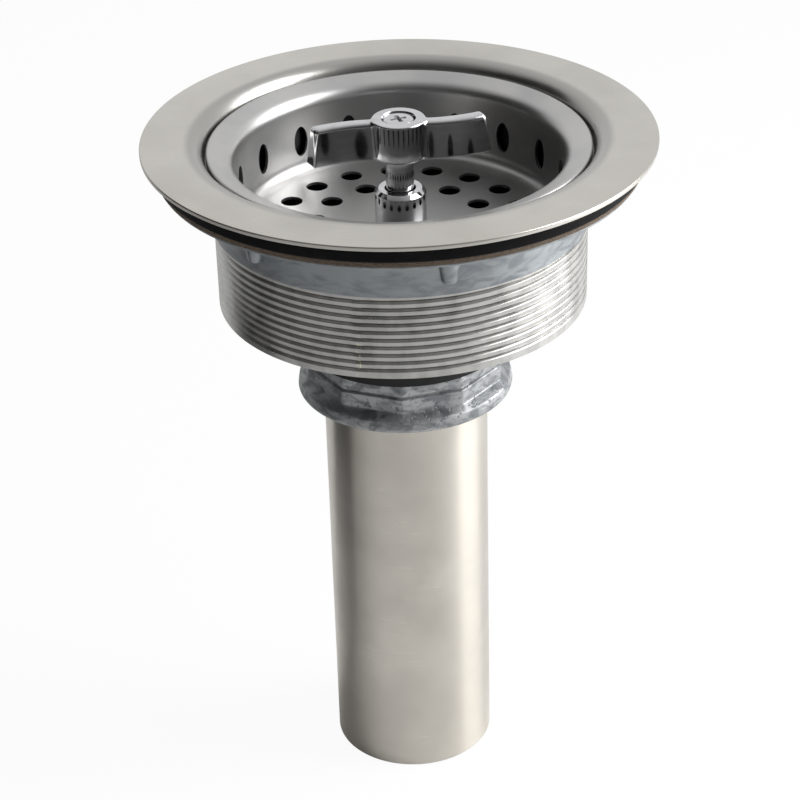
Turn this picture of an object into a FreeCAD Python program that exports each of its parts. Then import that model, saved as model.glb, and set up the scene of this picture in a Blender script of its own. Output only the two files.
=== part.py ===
"""Basket strainer waste for a kitchen sink outlet.

The origin is the centre of the flange's underside, where the flange lies on the sink, and +Z is up.
All lengths are millimetres and all angles degrees.
"""
import FreeCAD, Part
import math
import os
from types import SimpleNamespace

import Sketcher

SIZES = {
    # Flange and bowl, drawn from one sheet
    "bowl_radius": 38.4,
    "ledge_width": 4.9,
    "flange_width": 13.85,
    "bowl_sheet": 0.8,
    "lip_drop": 0.2,
    "lip_width": 1.75,
    "flange_edge_round": 0.35,
    "ledge_depth": 4.3,
    "ledge_round": 0.5,
    "recess_wall": 0.3,
    "mouth_round": 1.4,
    "bowl_depth": 40.6,
    "bowl_floor_round": 6.0,
    "neck_round": 1.6,
    "neck_length": 17.3,
    # Gasket and friction ring between the flange and the shell
    "sink_hole_play": 0.2,
    "gasket_setback": 0.8,
    "gasket_thickness": 4.1,
    "gasket_round": 0.5,
    "friction_ring_setback": 0.7,
    "friction_ring_thickness": 1.2,
    # Cast clamp shell
    "shell_play": 0.3,
    "shell_floor_play": 0.5,
    "barrel_wall": 2.4,
    "barrel_lift": 0.5,
    "barrel_chamfer": 1.5,
    "shoulder_step": 0.6,
    "shoulder_length": 12.1,
    "brim_setback": 1.1,
    "brim_thickness": 0.8,
    "brim_round": 0.3,
    "flare_round": 6.0,
    "neck_play": 0.4,
    "boss_wall": 2.7,
    "boss_height": 2.7,
    "cone_drop": 8.4,
    "cone_wall": 2.2,
    "lug_count": 6,
    "lug_stand_off": 0.2,
    "lug_top_width": 6.0,
    "lug_foot_width": 3.4,
    "lug_foot_depth": 9.7,
    "shell_turn": 13.0,
    # Coupling nut, washer and tailpiece
    "nut_sides": 10,
    "nut_wall": 1.6,
    "nut_corner_trim": 0.3,
    "nut_band_setback": 0.3,
    "nut_band_height": 3.2,
    "nut_base_step": 1.8,
    "nut_base_height": 4.2,
    "nut_base_edge": 1.8,
    "nut_base_round": 0.8,
    "nut_lip": 2.1,
    "nut_turn": 15.5,
    "thread_play": 0.15,
    "tail_washer_thickness": 1.5,
    "tail_washer_play": 0.15,
    "tail_radius": 19.05,
    "tail_wall": 0.8,
    "tail_length": 101.6,
    "tail_flange_width": 1.35,
    "tail_flange_thickness": 1.0,
    "tail_flange_round": 0.6,
    "tail_play": 0.7,
    # Basket cup
    "basket_sheet": 0.7,
    "basket_gap": 1.0,
    "basket_depth": 19.6,
    "basket_floor_round": 3.0,
    "rim_gap": 0.5,
    "rim_height": 2.5,
    "rim_dish": 2.1,
    "rim_edge_round": 0.7,
    "rim_round": 3.0,
    "basket_turn": -1.5,
    "slot_count": 18,
    "slot_width": 3.8,
    "slot_height": 7.4,
    "slot_lift": 3.9,
    "slot_cut_start": 15.0,
    "floor_hole_radius": 2.5,
    "outer_hole_count": 18,
    "outer_hole_inset": 9.0,
    "outer_hole_turn": -5.5,
    "inner_hole_count": 12,
    "inner_hole_inset": 8.3,
    "inner_hole_turn": 4.5,
    # Bush in the basket's floor, with its washer and nut
    "bush_bore_play": 0.3,
    "bush_wall": 2.35,
    "bush_height": 8.4,
    "bush_chamfer": 0.9,
    "bush_stem_wall": 1.42,
    "bush_stem_play": 0.15,
    "bush_stem_length": 5.1,
    "bush_thread_length": 5.3,
    "bush_washer_width": 2.85,
    "bush_washer_thickness": 0.6,
    "bush_nut_wall": 1.48,
    "bush_nut_height": 3.0,
    # Spindle
    "spindle_radius": 3.15,
    "spindle_above_bush": 7.7,
    "spindle_in_bush": 0.6,
    "spindle_in_hub": 4.9,
    "spindle_edge": 0.4,
    "spindle_step": 0.65,
    "spindle_thread_play": 0.08,
    "collar_step": 2.0,
    "collar_thickness": 1.2,
    "collar_gap": 1.0,
    "foot_step": 0.5,
    "foot_end": 0.6,
    "tapped_hole_depth": 8.0,
    # Handle and its screw
    "hub_wall": 2.25,
    "hub_taper": 0.3,
    "hub_height": 9.0,
    "hub_edge_round": 0.35,
    "hub_foot_chamfer": 0.5,
    "socket_play": 0.05,
    "screw_well_play": 0.35,
    "screw_well_depth": 2.2,
    "wing_reach": 18.9,
    "wing_foot_flare": 0.8,
    "wing_thickness": 3.2,
    "wing_foot_thickness": 4.0,
    "wing_top_drop": 0.55,
    "wing_foot_drop": 0.4,
    "wing_bend": 31.5,
    "wing_straight": 5.0,
    "wing_round": 1.1,
    "screw_head_radius": 3.4,
    "screw_head_height": 2.0,
    "screw_head_round": 0.4,
    "screw_shank_radius": 1.7,
    "screw_shank_length": 8.5,
    "screw_play": 0.15,
    "cross_length": 4.0,
    "cross_width": 0.9,
    "cross_depth": 1.0,
    # Stopper on the spindle's foot
    "stopper_play": 0.3,
    "stopper_bore_play": 0.06,
    "stopper_overlap": 2.8,
    "stopper_thickness": 3.5,
    "stopper_round": 1.2,
    "stopper_plate_inset": 10.0,
    "stopper_plate_thickness": 1.0,
    "stopper_washer_width": 3.94,
    "stopper_washer_thickness": 0.6,
    "stopper_nut_wall": 1.92,
    "stopper_nut_height": 3.2,
}

SHEET_NAME = "Sizes"
HEX_SIDES = 6
FULL_TURN = 360.0
HALF_TURN = 180.0
WING_ROUND_STEPS = (0, 40, 80)
TINY = 1e-9


class Size:
    """A number together with the expression that binds it to the sheet."""

    def __init__(self, value, text):
        self.value = float(value)
        self.text = text

    @staticmethod
    def of(other):
        """Take a plain number as a size of its own."""
        if isinstance(other, Size):
            return other
        return Size(other, repr(float(other)))

    def _join(self, sign, other, value):
        return Size(value, f"({self.text} {sign} {other.text})")

    def __add__(self, other):
        other = Size.of(other)
        return self._join("+", other, self.value + other.value)

    def __sub__(self, other):
        other = Size.of(other)
        return self._join("-", other, self.value - other.value)

    def __mul__(self, other):
        other = Size.of(other)
        return self._join("*", other, self.value * other.value)

    def __truediv__(self, other):
        other = Size.of(other)
        return self._join("/", other, self.value / other.value)

    def __neg__(self):
        return Size(-self.value, f"(-1.0 * {self.text})")

    def sine(self):
        """Sine of this angle in degrees."""
        return Size(math.sin(math.radians(self.value)), f"sin({self.text} * 1 deg)")

    def cosine(self):
        """Cosine of this angle in degrees."""
        return Size(math.cos(math.radians(self.value)), f"cos({self.text} * 1 deg)")

    def root(self):
        """Square root."""
        return Size(math.sqrt(self.value), f"sqrt({self.text})")


def make_sheet(doc):
    """Write every driving size into the sheet and return the sizes by name."""
    sheet = doc.addObject("Spreadsheet::Sheet", SHEET_NAME)
    for row, (name, value) in enumerate(SIZES.items(), start=1):
        sheet.set(f"A{row}", name)
        sheet.set(f"B{row}", str(value))
        sheet.setAlias(f"B{row}", name)
    doc.recompute()
    return SimpleNamespace(
        **{name: Size(sheet.get(name), f"{SHEET_NAME}.{name}") for name in SIZES}
    )


def bind(thing, path, size):
    """Bind one property of an object to the sheet."""
    thing.setExpression(path, size.text)


def origin_feature(body, role):
    """Find one of a body's own origin planes or axes."""
    return next(item for item in body.Origin.OriginFeatures if item.Role == role)


def new_body(doc, label):
    """Start a sub-part."""
    body = doc.addObject("PartDesign::Body", label)
    body.Label = label
    return body


def new_sketch(body, name, role, height=None):
    """Start a sketch on one of the body's own planes, raised by a bound height."""
    sketch = body.newObject("Sketcher::SketchObject", f"{body.Label}_{name}")
    sketch.AttachmentSupport = [(origin_feature(body, role), "")]
    sketch.MapMode = "FlatFace"
    if height is not None:
        lift = FreeCAD.Vector(0, 0, height.value)
        sketch.AttachmentOffset = FreeCAD.Placement(lift, FreeCAD.Rotation())
        bind(sketch, "AttachmentOffset.Base.z", height)
    return sketch


def place_point(sketch, geometry, position, across, up):
    """Hold one point of a sketch at bound distances from its origin."""
    axes = (("DistanceX", across, -2), ("DistanceY", up, -1))
    for kind, size, axis in axes:
        if abs(size.value) < TINY:
            sketch.addConstraint(Sketcher.Constraint("PointOnObject", geometry, position, axis))
            continue
        rule = Sketcher.Constraint(kind, -1, 1, geometry, position, size.value)
        bind(sketch, f"Constraints[{sketch.addConstraint(rule)}]", size)


def corner_arc(before, corner, after, radius):
    """Return the centre and the two tangent points of a round at a corner."""
    to_before = (before - corner).normalize()
    to_after = (after - corner).normalize()
    half = to_before.getAngle(to_after) / 2
    reach = radius / math.tan(half)
    middle = (to_before + to_after).normalize()
    centre = corner + middle * (radius / math.sin(half))
    return centre, corner + to_before * reach, corner + to_after * reach


def draw_outline(sketch, corners):
    """Draw a closed outline through corners given as (across, up) or (across, up, round)."""
    points = [FreeCAD.Vector(Size.of(c[0]).value, Size.of(c[1]).value, 0) for c in corners]
    rounds = [c[2] if len(c) > 2 else None for c in corners]
    count = len(points)
    arcs = []
    for i, size in enumerate(rounds):
        arc = None
        if size is not None:
            arc = corner_arc(points[i - 1], points[i], points[(i + 1) % count], size.value)
        arcs.append(arc)
    lines = []
    for i in range(count):
        after = (i + 1) % count
        start = arcs[i][2] if arcs[i] else points[i]
        end = arcs[after][1] if arcs[after] else points[after]
        lines.append(sketch.addGeometry(Part.LineSegment(start, end), False))
    for i, corner in enumerate(corners):
        join_corner(sketch, lines[i - 1], lines[i], points[i], corner, arcs[i])


def join_corner(sketch, line_in, line_out, point, corner, arc):
    """Tie two lines of an outline to their corner, sharp or round."""
    across, up = Size.of(corner[0]), Size.of(corner[1])
    if arc is None:
        sketch.addConstraint(Sketcher.Constraint("Coincident", line_in, 2, line_out, 1))
        place_point(sketch, line_out, 1, across, up)
        return
    centre, enter, leave = arc
    mark = sketch.addGeometry(Part.Point(point), True)
    place_point(sketch, mark, 1, across, up)
    sketch.addConstraint(Sketcher.Constraint("PointOnObject", mark, 1, line_in))
    sketch.addConstraint(Sketcher.Constraint("PointOnObject", mark, 1, line_out))
    turn = (enter - centre).cross(leave - centre).z
    first, last = (enter, leave) if turn > 0 else (leave, enter)
    circle = Part.Circle(centre, FreeCAD.Vector(0, 0, 1), corner[2].value)
    start = math.atan2(first.y - centre.y, first.x - centre.x)
    stop = math.atan2(last.y - centre.y, last.x - centre.x)
    bend = sketch.addGeometry(Part.ArcOfCircle(circle, start, stop), False)
    enter_end, leave_end = (1, 2) if turn > 0 else (2, 1)
    sketch.addConstraint(Sketcher.Constraint("Tangent", line_in, 2, bend, enter_end))
    sketch.addConstraint(Sketcher.Constraint("Tangent", line_out, 1, bend, leave_end))
    rule = Sketcher.Constraint("Radius", bend, corner[2].value)
    bind(sketch, f"Constraints[{sketch.addConstraint(rule)}]", corner[2])


def revolve(body, name, corners, kind="PartDesign::Revolution"):
    """Turn an outline of (radius, height) corners about Z, adding or cutting."""
    sketch = new_sketch(body, f"{name}_outline", "XZ_Plane")
    draw_outline(sketch, corners)
    feature = body.newObject(kind, f"{body.Label}_{name}")
    feature.Profile = sketch
    feature.ReferenceAxis = (sketch, ["V_Axis"])
    feature.Angle = FULL_TURN
    return feature


def polar(body, feature, name, count):
    """Repeat a feature evenly about Z."""
    pattern = body.newObject("PartDesign::PolarPattern", f"{body.Label}_{name}")
    pattern.Originals = [feature]
    pattern.Axis = (origin_feature(body, "Z_Axis"), [""])
    pattern.Angle = FULL_TURN
    pattern.Occurrences = round(count.value)
    bind(pattern, "Occurrences", count)
    body.Tip = pattern
    return pattern


def turned(label, doc, corners):
    """Make a sub-part that is one turned outline."""
    body = new_body(doc, label)
    revolve(body, "turning", corners)
    return body


def ring(label, doc, inner, outer, top, thickness, edge=None):
    """Make a flat ring, its outer edges rounded where a round is given."""
    rim = () if edge is None else (edge,)
    return turned(label, doc, [
        (inner, top - thickness),
        (outer, top - thickness) + rim,
        (outer, top) + rim,
        (inner, top),
    ])


def primitive(doc, kind, name, bottom, **sizes):
    """Make a primitive on the Z axis with its sizes and its foot bound to the sheet."""
    solid = doc.addObject(kind, name)
    for path, size in sizes.items():
        bind(solid, path, Size.of(size))
    bind(solid, "Placement.Base.z", bottom)
    return solid


def corner_radius(flat_radius, sides):
    """Radius over the corners of a many-sided prism with this radius over its flats."""
    return flat_radius / (Size.of(HALF_TURN) / sides).cosine()


def hexagon_nut(doc, label, bore, wall, top, height):
    """Make a plain hexagon nut with its bore."""
    sides = Size.of(HEX_SIDES)
    block = primitive(doc, "Part::Prism", f"{label}_block", top - height,
                      Circumradius=corner_radius(bore + wall, sides), Height=height)
    bind(block, "Polygon", sides)
    hole = primitive(doc, "Part::Cylinder", f"{label}_bore", top - height,
                     Radius=bore, Height=height)
    nut = doc.addObject("Part::Cut", label)
    nut.Base = block
    nut.Tool = hole
    nut.Label = label
    return nut


def radii(s):
    """Work out the radii at which the pieces fit in and round each other."""
    r = SimpleNamespace()
    r.recess = s.bowl_radius + s.ledge_width
    r.flange = r.recess + s.flange_width
    r.lip = r.flange - s.lip_width
    r.bowl_outside = s.bowl_radius + s.bowl_sheet
    r.shoulder_round = s.ledge_depth - s.ledge_round - s.recess_wall
    r.tail_inside = s.tail_radius - s.tail_wall
    r.neck = s.tail_radius + s.tail_flange_width
    r.neck_inside = r.neck - s.bowl_sheet
    r.gasket_bore = r.recess + r.shoulder_round + s.sink_hole_play
    r.gasket = r.lip - s.gasket_setback
    r.friction_ring_bore = r.recess + s.bowl_sheet + s.sink_hole_play
    r.friction_ring = r.gasket - s.friction_ring_setback
    r.shell_inside = r.bowl_outside + s.shell_play
    r.thread = r.shell_inside + s.barrel_wall
    r.shoulder = r.thread + s.shoulder_step
    r.brim = r.gasket - s.brim_setback
    r.shell_hole = r.neck + s.neck_play
    r.boss = r.shell_hole + s.boss_wall
    r.nut_bore = r.neck + s.thread_play
    r.nut_lip = s.tail_radius + s.tail_play
    r.nut_flat = r.nut_bore + s.nut_wall
    r.nut_corner = corner_radius(r.nut_flat, s.nut_sides)
    r.nut_base = r.nut_corner + s.nut_base_step
    r.basket = s.bowl_radius - s.basket_gap - s.basket_sheet
    r.rim = r.recess - s.rim_gap
    r.outer_holes = r.basket - s.outer_hole_inset
    r.inner_holes = r.outer_holes - s.inner_hole_inset
    r.spindle_thread = s.spindle_radius - s.spindle_step
    r.collar = r.spindle_thread + s.collar_step
    r.foot = r.spindle_thread - s.foot_step
    r.foot_bore = r.foot + s.stopper_bore_play
    r.bush_bore = s.spindle_radius + s.bush_bore_play
    r.bush = r.bush_bore + s.bush_wall
    r.bush_thread = r.spindle_thread + s.spindle_thread_play
    r.bush_stem = r.bush_thread + s.bush_stem_wall
    r.stem_hole = r.bush_stem + s.bush_stem_play
    r.screw_well = s.screw_head_radius + s.screw_well_play
    r.hub = r.screw_well + s.hub_wall
    r.hub_foot = r.hub - s.hub_taper
    r.stopper = r.neck_inside + s.neck_round + s.stopper_overlap
    return r


def heights(s):
    """Work out the levels at which the pieces seat on each other."""
    z = SimpleNamespace()
    z.flange_under = s.lip_drop
    z.flange_top = s.lip_drop + s.bowl_sheet
    z.ledge = z.flange_top - s.ledge_depth
    z.bowl_floor = z.flange_top - s.bowl_depth
    z.neck_end = z.bowl_floor - s.neck_length
    z.gasket_foot = z.flange_under - s.gasket_thickness
    z.brim_top = z.gasket_foot - s.friction_ring_thickness
    z.brim_under = z.brim_top - s.brim_thickness
    z.thread_top = z.brim_under - s.shoulder_length
    z.barrel_end = z.bowl_floor + s.barrel_lift
    z.cone_end = z.barrel_end - s.cone_drop
    z.boss_end = z.cone_end - s.boss_height
    z.tail_top = z.neck_end - s.tail_washer_thickness
    z.nut_lip_top = z.tail_top - s.tail_flange_thickness
    z.nut_end = z.nut_lip_top - s.nut_lip
    z.rim_top = z.ledge + s.rim_height
    z.rim_foot = z.rim_top - s.rim_dish
    z.basket_floor = z.rim_top - s.basket_depth
    z.basket_under = z.basket_floor - s.basket_sheet
    z.bush_top = z.basket_floor + s.bush_height
    z.bush_end = z.basket_under - s.bush_stem_length + s.basket_sheet
    z.bush_nut_top = z.basket_under - s.bush_washer_thickness
    z.hub_foot = z.bush_top + s.spindle_above_bush
    z.hub_top = z.hub_foot + s.hub_height
    z.spindle_top = z.hub_foot + s.spindle_in_hub
    z.spindle_step = z.bush_top - s.spindle_in_bush
    z.collar_top = z.bush_end - s.collar_gap
    z.collar_foot = z.collar_top - s.collar_thickness
    z.plate_top = z.collar_foot - s.stopper_play
    z.stopper_top = z.plate_top - s.stopper_plate_thickness
    z.stopper_foot = z.stopper_top - s.stopper_thickness
    z.stopper_washer_top = z.stopper_foot - s.stopper_play
    z.stopper_nut_top = z.stopper_washer_top - s.stopper_washer_thickness
    z.foot_end = z.stopper_nut_top - s.stopper_nut_height - s.foot_end
    return z


def strainer_bowl(doc, s, r, z):
    """Flange, basket seat, bowl and outlet neck, drawn from one sheet."""
    sheet = s.bowl_sheet
    return turned("strainer_bowl", doc, [
        (r.flange, Size.of(0)),
        (r.flange, z.flange_top, s.flange_edge_round),
        (r.recess, z.flange_top, r.shoulder_round),
        (r.recess, z.ledge, s.ledge_round),
        (s.bowl_radius, z.ledge, s.mouth_round),
        (s.bowl_radius, z.bowl_floor, s.bowl_floor_round),
        (r.neck_inside, z.bowl_floor, s.neck_round),
        (r.neck_inside, z.neck_end),
        (r.neck, z.neck_end),
        (r.neck, z.bowl_floor - sheet, s.neck_round - sheet),
        (r.bowl_outside, z.bowl_floor - sheet, s.bowl_floor_round + sheet),
        (r.bowl_outside, z.ledge - sheet, s.mouth_round - sheet),
        (r.recess + sheet, z.ledge - sheet, s.ledge_round + sheet),
        (r.recess + sheet, z.flange_under, r.shoulder_round - sheet),
        (r.lip, z.flange_under),
        (r.lip, Size.of(0)),
    ])


def clamp_shell(doc, s, r, z):
    """Cast shell with its brim, lugs, threaded barrel and conical foot."""
    shell_floor = z.bowl_floor - s.bowl_sheet - s.shell_floor_play
    body = new_body(doc, "clamp_shell")
    revolve(body, "turning", [
        (r.shell_inside, z.brim_top),
        (r.shell_inside, shell_floor, s.bowl_floor_round + s.bowl_sheet),
        (s.bowl_radius - s.bowl_floor_round, shell_floor),
        (r.shell_hole, z.cone_end + s.cone_wall),
        (r.shell_hole, z.boss_end),
        (r.boss, z.boss_end),
        (r.boss, z.cone_end),
        (r.thread - s.barrel_chamfer, z.barrel_end),
        (r.thread, z.barrel_end + s.barrel_chamfer),
        (r.thread, z.thread_top),
        (r.shoulder, z.thread_top),
        (r.shoulder, z.brim_under, s.flare_round),
        (r.brim, z.brim_under, s.brim_round),
        (r.brim, z.brim_top, s.brim_round),
    ])
    lug_foot = z.brim_top - s.lug_foot_depth
    lug = body.newObject("PartDesign::AdditiveCone", "clamp_shell_lug")
    lug.AttachmentSupport = [(origin_feature(body, "XY_Plane"), "")]
    lug.MapMode = "FlatFace"
    bind(lug, "AttachmentOffset.Base.y", -(r.shoulder + s.lug_stand_off))
    bind(lug, "AttachmentOffset.Base.z", lug_foot)
    bind(lug, "Radius1", s.lug_foot_width / 2)
    bind(lug, "Radius2", s.lug_top_width / 2)
    bind(lug, "Height", z.brim_under - lug_foot)
    polar(body, lug, "lugs", s.lug_count)
    return body


def nut_flats(doc, s, name, corner, foot, height):
    """Make one many-sided length of the coupling nut, its corners turned off."""
    block = primitive(doc, "Part::Prism", f"{name}_block", foot, Circumradius=corner, Height=height)
    bind(block, "Polygon", s.nut_sides)
    blank = primitive(doc, "Part::Cylinder", f"{name}_blank", foot,
                      Radius=corner - s.nut_corner_trim, Height=height)
    flats = doc.addObject("Part::Common", name)
    flats.Base = block
    flats.Tool = blank
    return flats


def coupling_nut(doc, s, r, z):
    """Ten-sided slip nut on a flared round base, with the lip that lifts the tailpiece."""
    base_top = z.nut_end + s.nut_base_height
    band_foot = z.boss_end - s.nut_band_height
    band = nut_flats(doc, s, "nut_band", r.nut_corner - s.nut_band_setback, band_foot,
                     s.nut_band_height)
    flats = nut_flats(doc, s, "nut_flats", r.nut_corner, base_top, band_foot - base_top)
    base = turned("nut_base", doc, [
        (r.nut_lip, z.nut_end),
        (r.nut_base, z.nut_end, s.nut_base_round),
        (r.nut_base, z.nut_end + s.nut_base_edge, s.nut_base_round),
        (r.nut_flat, base_top),
        (r.nut_lip, base_top),
    ])
    bore = primitive(doc, "Part::Cylinder", "nut_bore", z.nut_lip_top,
                     Radius=r.nut_bore, Height=z.boss_end - z.nut_lip_top)
    block = doc.addObject("Part::MultiFuse", "nut_block")
    block.Shapes = [band, flats, base]
    nut = doc.addObject("Part::Cut", "coupling_nut")
    nut.Base = block
    nut.Tool = bore
    nut.Label = "coupling_nut"
    return nut


def tailpiece(doc, s, r, z):
    """Plain tube with its top edge turned out to the neck's size."""
    return turned("tailpiece", doc, [
        (r.tail_inside, z.tail_top - s.tail_length),
        (s.tail_radius, z.tail_top - s.tail_length),
        (s.tail_radius, z.nut_lip_top),
        (r.neck, z.nut_lip_top),
        (r.neck, z.tail_top),
        (r.tail_inside, z.tail_top, s.tail_flange_round),
    ])


def basket_cup(doc, s, r, z):
    """Drawn cup with its dished, turned-down rim, oval wall slots and floor holes."""
    sheet = s.basket_sheet
    slope = s.rim_dish / (r.rim - r.basket)
    drop = sheet * (slope * slope + 1).root()
    body = new_body(doc, "basket_cup")
    revolve(body, "turning", [
        (r.rim, z.ledge),
        (r.rim, z.rim_top, s.rim_edge_round),
        (r.basket, z.rim_foot, s.rim_round),
        (r.basket, z.basket_floor, s.basket_floor_round),
        (r.stem_hole, z.basket_floor),
        (r.stem_hole, z.basket_under),
        (r.basket + sheet, z.basket_under, s.basket_floor_round + sheet),
        (r.basket + sheet, z.rim_foot + slope * sheet - drop, s.rim_round - sheet),
        (r.rim - sheet, z.rim_top - slope * sheet - drop),
        (r.rim - sheet, z.ledge),
    ])
    wall_slots(body, s, r, z)
    floor_holes(body, s, "outer", r.outer_holes, s.outer_hole_turn, s.outer_hole_count)
    floor_holes(body, s, "inner", r.inner_holes, s.inner_hole_turn, s.inner_hole_count)
    return body


def wall_slots(body, s, r, z):
    """Cut the oval slots through the basket's wall."""
    sketch = new_sketch(body, "slot_outline", "XZ_Plane", r.basket - s.slot_cut_start)
    middle = z.basket_floor + s.slot_lift + s.slot_height / 2
    centre = FreeCAD.Vector(0, middle.value, 0)
    end = centre + FreeCAD.Vector(0, s.slot_height.value / 2, 0)
    side = centre + FreeCAD.Vector(-s.slot_width.value / 2, 0, 0)
    edge = sketch.addGeometry(Part.Ellipse(end, side, centre), False)
    sketch.exposeInternalGeometry(edge)
    long_axis, short_axis = edge + 1, edge + 2
    place_point(sketch, edge, 3, Size.of(0), middle)
    sketch.addConstraint(Sketcher.Constraint("Vertical", long_axis))
    for axis, size in ((long_axis, s.slot_height), (short_axis, s.slot_width)):
        rule = Sketcher.Constraint("Distance", axis, size.value)
        bind(sketch, f"Constraints[{sketch.addConstraint(rule)}]", size)
    slot = body.newObject("PartDesign::Pocket", "basket_cup_slot")
    slot.Profile = sketch
    slot.Reversed = True
    bind(slot, "Length", s.slot_cut_start * 2)
    polar(body, slot, "slots", s.slot_count)


def floor_holes(body, s, name, circle, turn, count):
    """Cut one ring of round holes through the basket's floor."""
    sketch = new_sketch(body, f"{name}_hole_outline", "XY_Plane")
    across, up = circle * turn.sine(), circle * turn.cosine()
    at = FreeCAD.Vector(across.value, up.value, 0)
    edge = Part.Circle(at, FreeCAD.Vector(0, 0, 1), s.floor_hole_radius.value)
    hole_edge = sketch.addGeometry(edge, False)
    place_point(sketch, hole_edge, 3, across, up)
    rule = Sketcher.Constraint("Radius", hole_edge, s.floor_hole_radius.value)
    bind(sketch, f"Constraints[{sketch.addConstraint(rule)}]", s.floor_hole_radius)
    hole = body.newObject("PartDesign::Pocket", f"basket_cup_{name}_hole")
    hole.Profile = sketch
    hole.Type = "ThroughAll"
    polar(body, hole, f"{name}_holes", count)


def spindle_bush(doc, s, r, z):
    """Collar that stands in the basket's floor and guides the spindle."""
    bore_end = z.bush_end + s.bush_thread_length
    return turned("spindle_bush", doc, [
        (r.bush_bore, z.bush_top),
        (r.bush_bore, bore_end),
        (r.bush_thread, bore_end),
        (r.bush_thread, z.bush_end),
        (r.bush_stem, z.bush_end),
        (r.bush_stem, z.basket_floor),
        (r.bush, z.basket_floor),
        (r.bush, z.bush_top - s.bush_chamfer),
        (r.bush - s.bush_chamfer, z.bush_top),
    ])


def spindle(doc, s, r, z):
    """Rod with a plain upper end, a threaded middle, a collar and a foot for the stopper."""
    tapped = s.screw_shank_radius + s.screw_play / 2
    return turned("spindle", doc, [
        (Size.of(0), z.foot_end),
        (r.foot, z.foot_end),
        (r.foot, z.collar_foot),
        (r.collar, z.collar_foot),
        (r.collar, z.collar_top),
        (r.spindle_thread, z.collar_top),
        (r.spindle_thread, z.spindle_step),
        (s.spindle_radius, z.spindle_step),
        (s.spindle_radius, z.spindle_top - s.spindle_edge),
        (s.spindle_radius - s.spindle_edge, z.spindle_top),
        (tapped, z.spindle_top),
        (tapped, z.spindle_top - s.tapped_hole_depth),
        (Size.of(0), z.spindle_top - s.tapped_hole_depth),
    ])


def wing_outline(body, s, name, height, thickness, reach):
    """Draw both wings at one level as a band that bends once each way."""
    sketch = new_sketch(body, name, "XY_Plane", height)
    half = thickness / 2
    along = reach - s.wing_straight
    tips = []
    for side in (1, -1):
        radius = s.wing_bend + half * side
        sine = along / s.wing_bend
        cosine = (Size.of(1) - sine * sine).root()
        across = s.wing_straight + radius * sine
        up = s.wing_bend - radius * cosine
        tips.append((across, up, radius))
    front, back = tips
    nodes = [
        (-s.wing_straight, -half),
        (s.wing_straight, -half),
        (front[0], front[1]),
        (back[0], back[1]),
        (s.wing_straight, half),
        (-s.wing_straight, half),
        (-front[0], -front[1]),
        (-back[0], -back[1]),
    ]
    bends = {1: (front[2], 1), 3: (back[2], -1), 5: (front[2], 1), 7: (back[2], -1)}
    draw_band(sketch, nodes, bends)
    return sketch


def draw_band(sketch, nodes, bends):
    """Draw a closed chain through nodes, as arcs of bound radius where a bend is given."""
    points = [FreeCAD.Vector(a.value, u.value, 0) for a, u in nodes]
    ends = []
    for i, point in enumerate(points):
        after = points[(i + 1) % len(points)]
        if i not in bends:
            ends.append((sketch.addGeometry(Part.LineSegment(point, after), False), 1, 2))
            continue
        radius, side = bends[i]
        chord = after - point
        normal = FreeCAD.Vector(-chord.y, chord.x, 0).normalize()
        rise = math.sqrt(radius.value ** 2 - (chord.Length / 2) ** 2)
        centre = point + chord * 0.5 + normal * rise * side
        first, last = (point, after) if side > 0 else (after, point)
        start = math.atan2(first.y - centre.y, first.x - centre.x)
        stop = math.atan2(last.y - centre.y, last.x - centre.x)
        circle = Part.Circle(centre, FreeCAD.Vector(0, 0, 1), radius.value)
        arc = sketch.addGeometry(Part.ArcOfCircle(circle, start, stop), False)
        rule = Sketcher.Constraint("Radius", arc, radius.value)
        bind(sketch, f"Constraints[{sketch.addConstraint(rule)}]", radius)
        ends.append((arc, 1, 2) if side > 0 else (arc, 2, 1))
    for i, (here, start, _) in enumerate(ends):
        there, _, stop = ends[i - 1]
        sketch.addConstraint(Sketcher.Constraint("Coincident", there, stop, here, start))
        place_point(sketch, here, start, nodes[i][0], nodes[i][1])


def handle(doc, s, r, z):
    """Hub with two swept wings that taper upwards to a round top edge."""
    body = new_body(doc, "handle")
    foot = wing_outline(body, s, "wing_foot", z.hub_foot - s.wing_foot_drop,
                        s.wing_foot_thickness, s.wing_reach + s.wing_foot_flare)
    shoulder = z.hub_top - s.wing_top_drop - s.wing_round
    sections = []
    for angle in WING_ROUND_STEPS:
        inset = s.wing_round * (1 - math.cos(math.radians(angle)))
        rise = s.wing_round * math.sin(math.radians(angle))
        sections.append(wing_outline(body, s, f"wing_{angle}", shoulder + rise,
                                     s.wing_thickness - inset * 2, s.wing_reach - inset))
    wings = body.newObject("PartDesign::AdditiveLoft", "handle_wings")
    wings.Profile = foot
    wings.Sections = sections
    wings.Ruled = True
    revolve(body, "hub", [
        (Size.of(0), z.hub_foot),
        (r.hub_foot - s.hub_foot_chamfer, z.hub_foot),
        (r.hub_foot, z.hub_foot + s.hub_foot_chamfer),
        (r.hub, z.hub_top, s.hub_edge_round),
        (Size.of(0), z.hub_top),
    ])
    shank = s.screw_shank_radius + s.screw_play
    socket = s.spindle_radius + s.socket_play
    well_foot = z.hub_top - s.screw_well_depth
    revolve(body, "bores", [
        (Size.of(0), z.hub_foot - s.hub_foot_chamfer),
        (socket, z.hub_foot - s.hub_foot_chamfer),
        (socket, z.spindle_top),
        (shank, z.spindle_top),
        (shank, well_foot),
        (r.screw_well, well_foot),
        (r.screw_well, z.hub_top + s.hub_foot_chamfer),
        (Size.of(0), z.hub_top + s.hub_foot_chamfer),
    ], "PartDesign::Groove")
    return body


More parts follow.
